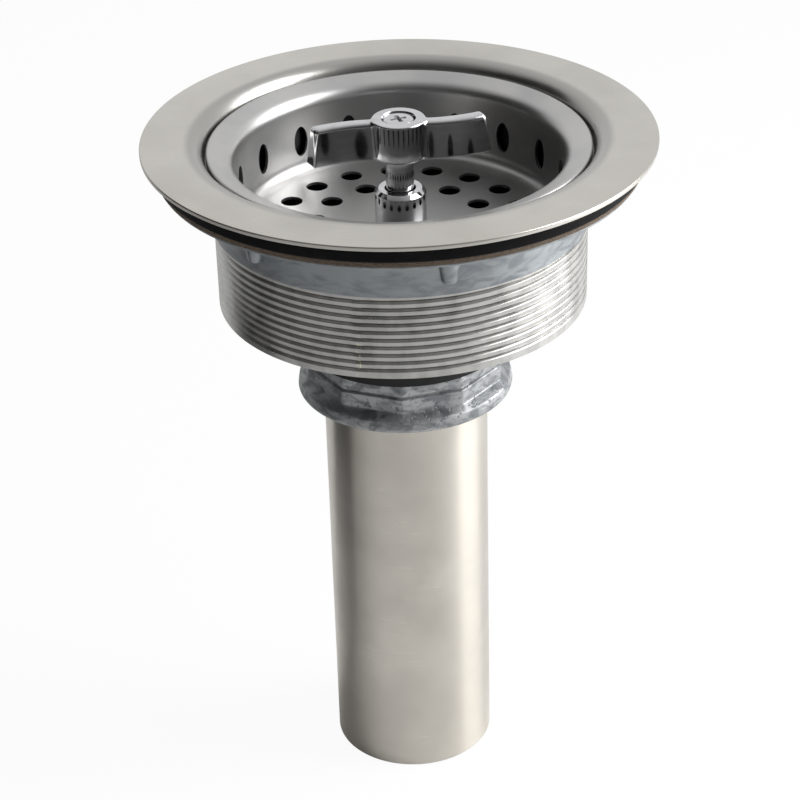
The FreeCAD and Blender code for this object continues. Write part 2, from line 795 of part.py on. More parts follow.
def handle_screw(doc, s, z):
    """Screw with a flat head and a cross recess, in the hub's well."""
    seat = z.hub_top - s.screw_well_depth
    head_top = seat + s.screw_head_height
    shank_end = seat - s.screw_shank_length
    body = new_body(doc, "handle_screw")
    revolve(body, "turning", [
        (Size.of(0), shank_end),
        (s.screw_shank_radius, shank_end),
        (s.screw_shank_radius, seat),
        (s.screw_head_radius, seat),
        (s.screw_head_radius, head_top, s.screw_head_round),
        (Size.of(0), head_top),
    ])
    long, short = s.cross_length / 2, s.cross_width / 2
    sketch = new_sketch(body, "cross_outline", "XY_Plane", head_top)
    draw_outline(sketch, [
        (long, -short), (long, short), (short, short), (short, long),
        (-short, long), (-short, short), (-long, short), (-long, -short),
        (-short, -short), (-short, -long), (short, -long), (short, -short),
    ])
    cross = body.newObject("PartDesign::Pocket", "handle_screw_cross")
    cross.Profile = sketch
    bind(cross, "Length", s.cross_depth)
    return body


def turn_about_axis(piece, angle):
    """Turn a finished sub-part about Z by a bound angle."""
    turn = FreeCAD.Rotation(FreeCAD.Vector(0, 0, 1), angle.value)
    piece.Placement = FreeCAD.Placement(FreeCAD.Vector(0, 0, 0), turn)
    bind(piece, "Placement.Rotation.Angle", angle)


def build(doc):
    """Make every sub-part and return them in order, from the sink down and then the basket."""
    s = make_sheet(doc)
    r = radii(s)
    z = heights(s)
    pieces = [
        strainer_bowl(doc, s, r, z),
        ring("sink_gasket", doc, r.gasket_bore, r.gasket, z.flange_under,
             s.gasket_thickness, s.gasket_round),
        ring("friction_ring", doc, r.friction_ring_bore, r.friction_ring, z.gasket_foot,
             s.friction_ring_thickness),
        clamp_shell(doc, s, r, z),
        coupling_nut(doc, s, r, z),
        ring("tailpiece_washer", doc, r.tail_inside + s.tail_washer_play, r.neck, z.neck_end,
             s.tail_washer_thickness),
        tailpiece(doc, s, r, z),
        basket_cup(doc, s, r, z),
        spindle_bush(doc, s, r, z),
        ring("bush_washer", doc, r.stem_hole, r.stem_hole + s.bush_washer_width,
             z.basket_under, s.bush_washer_thickness),
        hexagon_nut(doc, "bush_nut", r.stem_hole, s.bush_nut_wall, z.bush_nut_top,
                    s.bush_nut_height),
        spindle(doc, s, r, z),
        handle(doc, s, r, z),
        handle_screw(doc, s, z),
        ring("stopper_plate", doc, r.foot_bore, r.stopper - s.stopper_plate_inset,
             z.plate_top, s.stopper_plate_thickness),
        ring("stopper", doc, r.foot_bore, r.stopper, z.stopper_top, s.stopper_thickness,
             s.stopper_round),
        ring("stopper_washer", doc, r.foot_bore, r.foot_bore + s.stopper_washer_width,
             z.stopper_washer_top, s.stopper_washer_thickness),
        hexagon_nut(doc, "stopper_nut", r.foot_bore, s.stopper_nut_wall, z.stopper_nut_top,
                    s.stopper_nut_height),
    ]
    turns = {
        "clamp_shell": s.shell_turn,
        "coupling_nut": s.nut_turn,
        "basket_cup": s.basket_turn,
    }
    for piece in pieces:
        if piece.Label in turns:
            turn_about_axis(piece, turns[piece.Label])
    return pieces


def check(doc, pieces):
    """Stop if any feature failed or any sub-part has no sound solid."""
    for item in doc.Objects:
        if "Invalid" in item.State or "Error" in item.State:
            raise RuntimeError(f"{item.Label} failed: {item.State}")
    for piece in pieces:
        shape = piece.Shape
        if shape.isNull() or not shape.isValid() or len(shape.Solids) != 1:
            raise RuntimeError(f"{piece.Label} is not one valid solid")


def main():
    """Build the waste and write each sub-part to its own file."""
    doc = FreeCAD.newDocument("basket_strainer_waste")
    pieces = build(doc)
    doc.recompute()
    check(doc, pieces)
    os.makedirs("parts", exist_ok=True)
    for piece in pieces:
        piece.Shape.exportStep(f"parts/{piece.Label}.step")
        print(f"{piece.Label}: {piece.Shape.Volume:.1f} mm3")


main()
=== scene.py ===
"""A kitchen sink's basket strainer waste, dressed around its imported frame."""
import logging
import math
from dataclasses import dataclass
from enum import Enum, IntEnum
from typing import Sequence, Union

import bmesh
import bpy
import numpy as np
from mathutils import Matrix, Vector


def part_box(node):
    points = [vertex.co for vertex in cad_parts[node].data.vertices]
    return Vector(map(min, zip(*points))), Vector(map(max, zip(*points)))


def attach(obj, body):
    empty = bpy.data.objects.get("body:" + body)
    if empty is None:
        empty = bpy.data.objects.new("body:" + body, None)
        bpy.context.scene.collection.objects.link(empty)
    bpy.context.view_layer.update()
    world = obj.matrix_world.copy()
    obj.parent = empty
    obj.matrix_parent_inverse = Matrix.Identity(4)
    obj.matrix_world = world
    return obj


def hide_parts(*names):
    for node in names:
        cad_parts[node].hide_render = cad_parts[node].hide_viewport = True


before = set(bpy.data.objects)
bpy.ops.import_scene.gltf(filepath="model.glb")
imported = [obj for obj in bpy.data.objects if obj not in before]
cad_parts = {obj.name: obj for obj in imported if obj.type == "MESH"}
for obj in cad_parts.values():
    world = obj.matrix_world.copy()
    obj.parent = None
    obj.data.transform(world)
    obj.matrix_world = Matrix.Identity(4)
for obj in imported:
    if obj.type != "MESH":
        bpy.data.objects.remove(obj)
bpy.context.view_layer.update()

MM = 0.001
# Angles in degrees: between faces at a sharp edge, and of one step round a softened corner.
SHARP = 32.0
ARC_STEP = 9.0
# The turn of a highlight's stretch that lays it round the Z axis.
ROUND_THE_AXIS = 0.25
# Radii in millimetres: what keeps a shader off the axis, and what counts as on it.
OFF_AXIS = 0.01
ON_AXIS = 1e-6
# Rounds of small edges, in millimetres.
HAIR, CRISP, FINE, EASED, SOFT, FULL = 0.1, 0.15, 0.2, 0.3, 0.4, 0.5
LOG = logging.getLogger("basket_strainer")

Rgb = tuple[float, float, float]
Spot = tuple[float, float, float]
Point = tuple[float, float]
Row = tuple[float, ...]
Operand = Union["Signal", float, tuple]


class Body(Enum):
    """The bodies that the pieces ride on."""

    WASTE = "waste"
    STOPPER = "stopper"
    SPINDLE = "spindle"


class Cut(Enum):
    """How one solid is combined with another."""

    ADD = "UNION"
    REMOVE = "DIFFERENCE"


class Columns(IntEnum):
    """How many columns go round a turned piece."""

    LARGE = 288
    RING = 240
    COLLAR = 128
    ROD = 96
    ROUGH = 64


class Signal:
    """A value on its way through a material, with arithmetic that adds Math nodes."""

    def __init__(self, graph: "Graph", socket: bpy.types.NodeSocket) -> None:
        """Keep the socket and the graph that it belongs to."""
        self.graph = graph
        self.socket = socket

    def other(self, name: str) -> "Signal":
        """Another output of the same node."""
        return Signal(self.graph, self.socket.node.outputs[name])

    def math(self, operation: str, first: Operand, second: Operand = 0.0) -> "Signal":
        """One Math node.

        Args:
            operation: the Math node's operation.
            first: its first operand.
            second: its second operand, where the operation has one.

        Returns:
            The node's result.
        """
        return self.graph.node("ShaderNodeMath", {"operation": operation}, {0: first, 1: second})

    def __add__(self, other: Operand) -> "Signal":
        """This value plus another."""
        return self.math("ADD", self, other)

    def __radd__(self, other: Operand) -> "Signal":
        """Another value plus this one."""
        return self.math("ADD", other, self)

    def __sub__(self, other: Operand) -> "Signal":
        """This value less another."""
        return self.math("SUBTRACT", self, other)

    def __rsub__(self, other: Operand) -> "Signal":
        """Another value less this one."""
        return self.math("SUBTRACT", other, self)

    def __mul__(self, other: Operand) -> "Signal":
        """This value times another."""
        return self.math("MULTIPLY", self, other)

    def __rmul__(self, other: Operand) -> "Signal":
        """Another value times this one."""
        return self.math("MULTIPLY", other, self)

    def __truediv__(self, other: Operand) -> "Signal":
        """This value over another."""
        return self.math("DIVIDE", self, other)

    def __rtruediv__(self, other: Operand) -> "Signal":
        """Another value over this one."""
        return self.math("DIVIDE", other, self)

    def root(self) -> "Signal":
        """The square root."""
        return self.math("SQRT", self)

    def size(self) -> "Signal":
        """The value without its sign."""
        return self.math("ABSOLUTE", self)

    def rise(self, low: float, high: float) -> "Signal":
        """A soft step from 0 to 1.

        Args:
            low: the value where the step starts.
            high: the value where it ends. Below low, the step falls instead.

        Returns:
            The step, between 0 and 1.
        """
        ends = {0: self, 1: low, 2: high, 3: 0.0, 4: 1.0}
        if high < low:
            ends = {0: self, 1: high, 2: low, 3: 1.0, 4: 0.0}
        return self.graph.node("ShaderNodeMapRange", {"interpolation_type": "SMOOTHSTEP"}, ends)


class Graph:
    """The nodes of one material, or of the world."""

    def __init__(self, tree: bpy.types.NodeTree) -> None:
        """Start from an empty tree."""
        self.tree = tree
        tree.nodes.clear()

    def node(
        self,
        kind: str,
        settings: dict[str, object] | None = None,
        sockets: dict[str | int, Operand] | None = None,
        output: str | int = 0,
    ) -> Signal:
        """Make a node.

        Args:
            kind: the node's type.
            settings: its own properties, which are set first.
            sockets: values or links of its inputs, by name or place.
            output: the output that is wanted.

        Returns:
            That output.
        """
        made = self.tree.nodes.new(kind)
        for name, value in (settings or {}).items():
            setattr(made, name, value)
        for key, value in (sockets or {}).items():
            if isinstance(value, Signal):
                self.tree.links.new(value.socket, made.inputs[key])
            else:
                made.inputs[key].default_value = value
        return Signal(self, made.outputs[output])

    def place(self) -> tuple[Signal, Signal, Signal]:
        """Where a point is on its piece.

        Returns:
            Its three coordinates, in millimetres.
        """
        spot = self.node("ShaderNodeTexCoord", output="Object")
        across = self.node("ShaderNodeSeparateXYZ", sockets={0: spot})
        return across / MM, across.other("Y") / MM, across.other("Z") / MM

    def noise(
        self, spot: tuple[Operand, Operand, Operand], fourth: Operand = 0.0,
        detail: float = 2.0, distortion: float = 0.0,
    ) -> Signal:
        """Soft noise about one unit wide.

        Args:
            spot: three coordinates.
            fourth: a fourth one.
            detail: how many finer layers lie on it.
            distortion: how far it is stirred.

        Returns:
            The noise, mostly between 0.3 and 0.7.
        """
        joined = self.node("ShaderNodeCombineXYZ", sockets=dict(enumerate(spot)))
        sockets = {"Vector": joined, "W": fourth, "Scale": 1.0}
        sockets.update({"Detail": detail, "Distortion": distortion})
        return self.node("ShaderNodeTexNoise", {"noise_dimensions": "4D"}, sockets)

    def cloud(
        self, spot: tuple[Signal, Signal, Signal], wide: float, high: float, **how: float,
    ) -> Signal:
        """Noise of a size in millimetres.

        Args:
            spot: where a point is on its piece.
            wide: how wide the noise's clouds are.
            high: how high they are.
            how: the noise's other values.

        Returns:
            The noise.
        """
        x, y, z = spot
        return self.noise((x / wide, y / wide, z / high), **how)

    def tint(self, low: Operand, high: Operand, share: Signal) -> Signal:
        """Mix two colours.

        Args:
            low: the colour where share is 0, as three numbers or a link.
            high: the colour where share is 1.
            share: how much of high there is.

        Returns:
            The mixed colour.
        """
        ends = [end if isinstance(end, Signal) else (*end, 1.0) for end in (low, high)]
        sockets = {0: share, 6: ends[0], 7: ends[1]}
        return self.node("ShaderNodeMix", {"data_type": "RGBA"}, sockets, output=2)

    def bump(self, height: Signal, depth: float) -> Signal:
        """Turn a height into a normal.

        Args:
            height: the height, from 0 to 1.
            depth: how deep 1 is, in millimetres.

        Returns:
            The normal.
        """
        sockets = {"Strength": 1.0, "Distance": depth * MM, "Height": height}
        return self.node("ShaderNodeBump", sockets=sockets)

    def show(self, shader: Signal, output: str = "ShaderNodeOutputMaterial") -> None:
        """Send a shader to an output node."""
        end = self.tree.nodes.new(output)
        self.tree.links.new(shader.socket, end.inputs["Surface"])


def dimmed(colour: Rgb, share: float) -> Rgb:
    """A share of a colour's light."""
    return colour[0] * share, colour[1] * share, colour[2] * share


@dataclass(frozen=True)
class Finish:
    """A finish that pieces wear. Its slot is the record's."""

    slot: str

    def sockets(self, graph: Graph) -> dict[str, Operand]:
        """What feeds the shader. Each kind of finish has its own."""
        raise NotImplementedError

    def material(self) -> bpy.types.Material:
        """The finish as a material, made once.

        Returns:
            The material.
        """
        name = f"{self.slot}_finish"
        made = bpy.data.materials.get(name)
        if made is None:
            made = bpy.data.materials.new(name)
            made.use_nodes = True
            graph = Graph(made.node_tree)
            graph.show(graph.node("ShaderNodeBsdfPrincipled", sockets=self.sockets(graph)))
        return made


@dataclass(frozen=True)
class TurnedSteel(Finish):
    """Stainless steel polished round its axis, with fine lines that follow the turning, and painted
    shade inside a radius and below a height.
    """

    colour: Rgb
    cloud_colour: Rgb
    roughness: float
    stretch: float
    line_width: float = 0.16
    line_depth: float = 0.0006
    line_run: float = 2.5
    line_gloss: float = 0.14
    cloud_size: Point = (17.0, 17.0)
    cloud_gloss: float = 0.12
    # Painted shade: the colour that the steel takes inside this radius, dimming the shoulder's
    # highlight.
    shoulder_shade_colour: Rgb = (0.34, 0.335, 0.32)
    shoulder_shade_radius: float = 0.0
    shoulder_shade_blend: float = 1.0
    # Painted shadow: the colour that the steel takes below a height, for the bowl's shaded inside.
    bowl_shade_colour: Rgb = (0.04, 0.04, 0.04)
    bowl_shade_top: float = -400.0
    bowl_shade_blend: float = 4.0

    def sockets(self, graph: Graph) -> dict[str, Operand]:
        """The shader's inputs.

        Args:
            graph: the material's nodes.

        Returns:
            The inputs, by name.
        """
        x, y, z = spot = graph.place()
        radius = (x * x + y * y).root() + OFF_AXIS
        along = (radius / self.line_width, z / self.line_width, x / radius * self.line_run)
        lines = graph.noise(along, y / radius * self.line_run, detail=3.0)
        clouds = graph.cloud(spot, *self.cloud_size, fourth=2.0, detail=3.0)
        colour = graph.tint(self.colour, self.cloud_colour, clouds.rise(0.35, 0.68))
        # Painted shade inside the shoulder's radius.
        inside = radius.rise(self.shoulder_shade_radius + self.shoulder_shade_blend, self.shoulder_shade_radius - self.shoulder_shade_blend)
        colour = graph.tint(colour, self.shoulder_shade_colour, inside)
        # Painted shadow on the bowl's inside, below that height.
        below = z.rise(self.bowl_shade_top, self.bowl_shade_top - self.bowl_shade_blend)
        worn = (lines - 0.5) * self.line_gloss + (clouds - 0.5) * self.cloud_gloss
        return {
            "Base Color": graph.tint(colour, self.bowl_shade_colour, below),
            "Metallic": 1.0,
            "Roughness": self.roughness + worn,
            "Anisotropic": self.stretch,
            "Anisotropic Rotation": ROUND_THE_AXIS,
            "Normal": graph.bump(lines, self.line_depth),
        }


@dataclass(frozen=True)
class CastZinc(Finish):
    """Raw zinc casting with flow marks, a machined band where its thread is, and painted shade below a
    height, on the boss under the barrel.
    """

    raw: Rgb
    raw_dark: Rgb
    machined: Rgb
    thread_top: float
    thread_foot: float
    thread_inside: float
    seam_turn: float
    # Painted shade: the casting goes near black below this height, where the barrel shades the boss.
    boss_shade_top: float
    boss_shade: Rgb = (0.03, 0.03, 0.03)
    boss_shade_blend: float = 1.5
    fleck: Rgb = (0.80, 0.78, 0.55)
    fleck_share: float = 0.8
    fleck_drop: Point = (8.0, 14.0)
    seam_ends: Point = (0.75, 0.35)
    flow_size: Point = (9.0, 3.5)
    grain_size: Point = (0.5, 0.5)
    wear_size: Point = (9.0, 7.0)
    worn: float = 0.78
    roughness: float = 0.43
    flow_gloss: float = 0.34
    cut_gloss: float = 0.13
    wear_gloss: float = 0.18
    stretch: float = 0.35
    band_blend: float = 0.15
    band_inset: float = 0.2
    skin_depth: float = 0.05

    def sockets(self, graph: Graph) -> dict[str, Operand]:
        """The shader's inputs.

        Args:
            graph: the material's nodes.

        Returns:
            The inputs, by name.
        """
        x, y, z = spot = graph.place()
        radius = (x * x + y * y).root() + OFF_AXIS
        flow = graph.cloud(spot, *self.flow_size, fourth=1.0, detail=4.0, distortion=1.6)
        grain = graph.cloud(spot, *self.grain_size, fourth=3.0)
        round_it, high = self.wear_size
        wear = graph.noise((x / radius * round_it, y / radius * round_it, z / high), 7.0, detail=3.0)
        level = z.rise(self.thread_top + self.band_blend, self.thread_top - self.band_blend)
        level = level * z.rise(self.thread_foot - self.band_blend, self.thread_foot + self.band_blend)
        cut = level * radius.rise(self.thread_inside - self.band_inset, self.thread_inside)
        raw = graph.tint(self.raw_dark, self.raw, flow.rise(0.32, 0.62))
        bright = graph.tint(dimmed(self.machined, self.worn), self.machined, wear.rise(0.35, 0.6))
        colour = graph.tint(raw, bright, cut)
        turn = math.radians(self.seam_turn)
        across = x * math.cos(turn) + y * math.sin(turn)
        facing = x * math.sin(turn) - y * math.cos(turn)
        seam = across.size().rise(*self.seam_ends) * facing.rise(0.0, 1.0) * cut
        low, full = (self.thread_top - drop for drop in self.fleck_drop)
        specks = grain.rise(0.52, 0.6) * seam * z.rise(low, full)
        colour = graph.tint(colour, self.fleck, specks * self.fleck_share)
        # Painted shade below that height, under the barrel.
        below = z.rise(self.boss_shade_top, self.boss_shade_top - self.boss_shade_blend)
        gloss = (flow - 0.5) * self.flow_gloss * (1.0 - cut)
        return {
            "Base Color": graph.tint(colour, self.boss_shade, below),
            "Metallic": 1.0,
            "Roughness": self.roughness + gloss - cut * self.cut_gloss + (wear - 0.5) * self.wear_gloss,
            "Anisotropic": self.stretch,
            "Anisotropic Rotation": ROUND_THE_AXIS,
            "Normal": graph.bump((flow * 0.6 + grain * 0.5) * (1.0 - cut), self.skin_depth),
        }


@dataclass(frozen=True)
class PittedZinc(Finish):
    """Raw zinc casting with a rough skin and small pits."""

    colour: Rgb
    dark: Rgb
    skin_size: Point = (2.2, 2.2)
    skin_depth: float = 0.20
    skin_gloss: float = 0.25
    grain_size: Point = (0.8, 0.8)
    stain_size: Point = (5.0, 2.2)
    metal: float = 0.55
    roughness: float = 0.45
    pit_gloss: float = 0.2
    pit_share: float = 0.7

    def sockets(self, graph: Graph) -> dict[str, Operand]:
        """The shader's inputs.

        Args:
            graph: the material's nodes.

        Returns:
            The inputs, by name.
        """
        spot = graph.place()
        skin = graph.cloud(spot, *self.skin_size, fourth=4.0, detail=5.0, distortion=0.6)
        grain = graph.cloud(spot, *self.grain_size, fourth=1.0, detail=3.0)
        pits = grain.rise(0.42, 0.33)
        stain = graph.cloud(spot, *self.stain_size, fourth=6.0, detail=5.0, distortion=0.8)
        colour = graph.tint(self.dark, self.colour, stain.rise(0.38, 0.6))
        return {
            "Base Color": graph.tint(colour, self.dark, pits * self.pit_share),
            "Metallic": self.metal,
            "Roughness": self.roughness + (skin - 0.5) * self.skin_gloss + pits * self.pit_gloss,
            "Normal": graph.bump(skin * 0.7 + grain * 0.25 - pits * 0.4, self.skin_depth),
        }


@dataclass(frozen=True)
class Chrome(Finish):
    """Polished plating with faint wipe marks."""

    colour: Rgb
    dull: float = 0.9
    roughness: float = 0.07
    wipe_size: Point = (4.0, 1.6)
    wipe_gloss: float = 0.12
    wipe_depth: float = 0.004

    def sockets(self, graph: Graph) -> dict[str, Operand]:
        """The shader's inputs.

        Args:
            graph: the material's nodes.

        Returns:
            The inputs, by name.
        """
        wipe = graph.cloud(graph.place(), *self.wipe_size, fourth=2.0, detail=4.0, distortion=0.4)
        dull = dimmed(self.colour, self.dull)
        return {
            "Base Color": graph.tint(dull, self.colour, wipe.rise(0.35, 0.6)),
            "Metallic": 1.0,
            "Roughness": self.roughness + (wipe - 0.4) * self.wipe_gloss,
            "Normal": graph.bump(wipe, self.wipe_depth),
        }


@dataclass(frozen=True)
class Rubber(Finish):
    """Black moulded rubber with a dusty, matte skin."""

    colour: Rgb
    dust: Rgb
    dust_size: Point = (6.0, 2.0)
    dust_gloss: float = 0.3
    skin_size: Point = (0.4, 0.4)
    skin_depth: float = 0.02
    roughness: float = 0.55
    sheen: float = 0.08

    def sockets(self, graph: Graph) -> dict[str, Operand]:
        """The shader's inputs.

        Args:
            graph: the material's nodes.

        Returns:
            The inputs, by name.
        """
        spot = graph.place()
        dust = graph.cloud(spot, *self.dust_size, fourth=3.0, detail=5.0)
        skin = graph.cloud(spot, *self.skin_size, fourth=1.0)
        return {
            "Base Color": graph.tint(self.colour, self.dust, dust.rise(0.45, 0.75)),
            "Roughness": self.roughness + (dust - 0.5) * self.dust_gloss,
            "Specular IOR Level": self.sheen,
            "Normal": graph.bump(skin, self.skin_depth),
        }


@dataclass(frozen=True)
class Fibre(Finish):
    """Pressed fibre, tan with darker threads."""

    colour: Rgb
    dark: Rgb
    thread_size: Point = (0.9, 0.15)
    thread_depth: float = 0.04
    thread_gloss: float = 0.2
    roughness: float = 0.85

    def sockets(self, graph: Graph) -> dict[str, Operand]:
        """The shader's inputs.

        Args:
            graph: the material's nodes.

        Returns:
            The inputs, by name.
        """
        threads = graph.cloud(graph.place(), *self.thread_size, fourth=5.0, detail=4.0, distortion=1.0)
        return {
            "Base Color": graph.tint(self.dark, self.colour, threads.rise(0.35, 0.65)),
            "Roughness": self.roughness + (threads - 0.5) * self.thread_gloss,
            "Normal": graph.bump(threads, self.thread_depth),
        }


# Painted shade: the flange's steel darkens inside its shoulder's radius, and its bowl goes near black
# below z -5.
FLANGE_STEEL = TurnedSteel(
    "flange_steel", (0.50, 0.485, 0.45), (0.46, 0.445, 0.41), 0.30, 0.45,
    shoulder_shade_radius=47.0, bowl_shade_top=-5.0,
)
TUBE_STEEL = TurnedSteel("tube_steel", (0.60, 0.57, 0.515), (0.55, 0.52, 0.47), 0.31, 0.95)
BASKET_STEEL = TurnedSteel("basket_steel", (0.44, 0.435, 0.43), (0.38, 0.38, 0.38), 0.35, 0.4)
INNER_STEEL = TurnedSteel("inner_steel", (0.45, 0.45, 0.44), (0.38, 0.38, 0.37), 0.38, 0.2)
CHROME = Chrome("chrome", (0.53, 0.53, 0.54))
GASKET_RUBBER = Rubber("gasket_rubber", (0.004, 0.004, 0.0045), (0.010, 0.010, 0.010))
STOPPER_RUBBER = Rubber("stopper_rubber", (0.014, 0.014, 0.014), (0.03, 0.03, 0.03))
FIBRE = Fibre("fibre", (0.16, 0.12, 0.085), (0.07, 0.05, 0.035))
NUT_ZINC = PittedZinc("nut_zinc", (0.39, 0.40, 0.405), (0.18, 0.19, 0.20))


@dataclass(frozen=True)
class Corner:
    """A corner of a turned outline, in millimetres, with its round."""

    radius: float
    height: float
    round: float = 0.12


@dataclass(frozen=True)
class Span:
    """How far a node reaches, in millimetres."""

    radius: float
    foot: float
    top: float

    @classmethod
    def of(cls, node: str) -> "Span":
        """Measure a node of the frame.

        Args:
            node: the node's name.

        Returns:
            Its reach.
        """
        low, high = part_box(node)
        return cls(high.x / MM, low.z / MM, high.z / MM)


def soften(rows: Sequence[Row], closed: bool = True) -> list[Point]:
    """Draw an outline with its corners rounded.

    Args:
        rows: radius, height and, where it isn't the usual one, round of each corner.
        closed: whether the last corner joins the first.

    Returns:
        The outline's points.
    """
    step = math.radians(ARC_STEP)
    corners = [Corner(*row) for row in rows]
    spots = [Vector((corner.radius, corner.height)) for corner in corners]
    count = len(spots)
    sides = [(spots[(i + 1) % count] - spots[i]).length for i in range(count)]
    turns = [
        math.pi - (spots[i - 1] - here).angle(spots[(i + 1) % count] - here)
        for i, here in enumerate(spots)
    ]
    reaches = [corner.round * math.tan(turn / 2.0) for corner, turn in zip(corners, turns)]
    if not closed:
        reaches[0] = reaches[-1] = 0.0
    points: list[Point] = []
    for i, here in enumerate(spots):
        onward_reach = reaches[(i + 1) % count]
        room = min(
            sides[i - 1] / max(reaches[i - 1] + reaches[i], sides[i - 1]),
            sides[i] / max(reaches[i] + onward_reach, sides[i]),
        )
        reach = reaches[i] * room * 0.999
        if reach <= 0.0 or turns[i] < step / 4.0:
            points.append((here.x, here.y))
            continue
        back = (spots[i - 1] - here).normalized()
        onward = (spots[(i + 1) % count] - here).normalized()
        bend = reach / math.tan(turns[i] / 2.0)
        centre = here + (back + onward).normalized() * (bend / math.cos(turns[i] / 2.0))
        arm = here + back * reach - centre
        side = math.copysign(1.0, back.y * onward.x - back.x * onward.y)
        pieces = max(2, math.ceil(turns[i] / step))
        for k in range(pieces + 1):
            spoke = arm.copy()
            spoke.rotate(Matrix.Rotation(side * turns[i] * k / pieces, 2))
            points.append((centre.x + spoke.x, centre.y + spoke.y))
    return points


def solid(
    name: str, vertices: np.ndarray, faces: Sequence[Sequence[int]], edge: float = SHARP,
) -> bpy.types.Object:
    """Make an object of a closed mesh.

    Args:
        name: the object's name.
        vertices: its points, in millimetres.
        faces: its faces, as rows of points' numbers.
        edge: the angle between faces, in degrees, past which an edge is sharp.

    Returns:
        The object, in the scene.
    """
    mesh = bpy.data.meshes.new(name)
    mesh.from_pydata((np.asarray(vertices) * MM).tolist(), [], faces)
    made = bpy.data.objects.new(name, mesh)
    bpy.context.scene.collection.objects.link(made)
    work = bmesh.new()
    work.from_mesh(mesh)
    bmesh.ops.recalc_face_normals(work, faces=work.faces)
    work.to_mesh(mesh)
    work.free()
    shade(mesh, edge)
    return made


def shade(mesh: bpy.types.Mesh, edge: float) -> None:
    """Shade a mesh smooth, with sharp edges past an angle in degrees."""
    mesh.polygons.foreach_set("use_smooth", [True] * len(mesh.polygons))
    mesh.set_sharp_from_angle(angle=math.radians(edge))


def spin(name: str, outline: Sequence[Point], segments: Columns) -> bpy.types.Object:
    """Turn an outline round the Z axis.

    Args:
        name: the object's name.
        outline: the outline's points. It is closed unless both its ends lie on the axis.
        segments: how many columns go round.

    Returns:
        The object.
    """
    angles = np.arange(segments) * (2.0 * math.pi / segments)
    vertices: list[Spot] = []
    rings: list[list[int]] = []
    for radius, height in outline:
        start = len(vertices)
        if radius < ON_AXIS:
            vertices.append((0.0, 0.0, height))
            rings.append([start] * segments)
        else:
            vertices += [(radius * math.cos(a), radius * math.sin(a), height) for a in angles]
            rings.append(list(range(start, start + segments)))
    pairs = list(zip(rings, rings[1:]))
    if outline[0][0] > ON_AXIS:
        pairs.append((rings[-1], rings[0]))
    faces = []
    for one, two in pairs:
        for i in range(segments):
            j = (i + 1) % segments
            corners = dict.fromkeys((one[i], one[j], two[j], two[i]))
            faces.append(tuple(corners))
    return solid(name, np.array(vertices), faces)


def apply_modifiers(target: bpy.types.Object, edge: float = SHARP) -> None:
    """Settle an object's modifiers into its mesh.

    Args:
        target: the object.
        edge: the angle between faces, in degrees, past which an edge is sharp.
    """
    view = bpy.context.evaluated_depsgraph_get()
    old = target.data
    mesh = bpy.data.meshes.new_from_object(target.evaluated_get(view))
    target.modifiers.clear()
    target.data = mesh
    bpy.data.meshes.remove(old)
    shade(mesh, edge)


def combine(target: bpy.types.Object, tool: bpy.types.Object, cut: Cut, edge: float = SHARP) -> None:
    """Add a solid to another, or cut it away.

    Args:
        target: the object that changes.
        tool: the object that is added or cut away, and is gone afterwards.
        cut: which of the two.
        edge: the angle between faces, in degrees, past which an edge is sharp.
    """
    change = target.modifiers.new("combine", "BOOLEAN")
    change.operation = cut.value
    change.solver = "MANIFOLD"
    change.object = tool
    apply_modifiers(target, edge)
    bpy.data.objects.remove(tool)


def stack(layers: Sequence[Sequence[Spot]]) -> tuple[list, list]:
    """Skin a stack of outlines that have as many points each.

    Args:
        layers: the outlines, from one end to the other.

    Returns:
        The points and the faces of the closed form.
    """
    count = len(layers[0])
    points = [point for layer in layers for point in layer]
    faces: list[tuple[int, ...]] = []
    for k in range(len(layers) - 1):
        for i in range(count):
            j = (i + 1) % count
            faces.append((k * count + i, k * count + j, (k + 1) * count + j, (k + 1) * count + i))
    end = (len(layers) - 1) * count
    faces.append(tuple(range(count)))
    faces.append(tuple(range(end, end + count)))
    return points, faces


def gather(name: str, forms: Sequence[tuple[list, list]]) -> bpy.types.Object:
    """Make one object of several separate forms.

    Args:
        name: the object's name.
        forms: points and faces of each form.

    Returns:
        The object.
    """
    points: list = []
    faces: list[tuple[int, ...]] = []
    for form_points, form_faces in forms:
        start = len(points)
        points += list(form_points)
        faces += [tuple(start + i for i in face) for face in form_faces]
    return solid(name, np.array(points), faces)


def turned(points: Sequence[Spot], degrees: float) -> list[Spot]:
    """Turn points about the Z axis.

    Args:
        points: the points.
        degrees: how far, counter-clockwise from above.

    Returns:
        The turned points.
    """
    c, s = math.cos(math.radians(degrees)), math.sin(math.radians(degrees))
    return [(c * x - s * y, s * x + c * y, z) for x, y, z in points]


class Assembly:
    """What the sub-assemblies share: how a mesh becomes a piece of the object."""

    body = Body.WASTE

    def seat(self, piece: bpy.types.Object, node: str, finish: Finish) -> None:
        """Put a piece in the place of its node.

        Args:
            piece: the piece.
            node: the node that it stands for.
            finish: what it wears.
        """
        piece.data.materials.clear()
        piece.data.materials.append(finish.material())
        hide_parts(node)
        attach(piece, self.body.value)
        LOG.info("%s: %d faces in %s", piece.name, len(piece.data.polygons), finish.slot)

    def keep(self, node: str, finish: Finish) -> None:
        """Dress a node whose own shape is right.

        Args:
            node: the node's name.
            finish: what it wears.
        """
        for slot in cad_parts[node].material_slots:
            slot.material = finish.material()
        LOG.info("%s: kept, in %s", node, finish.slot)


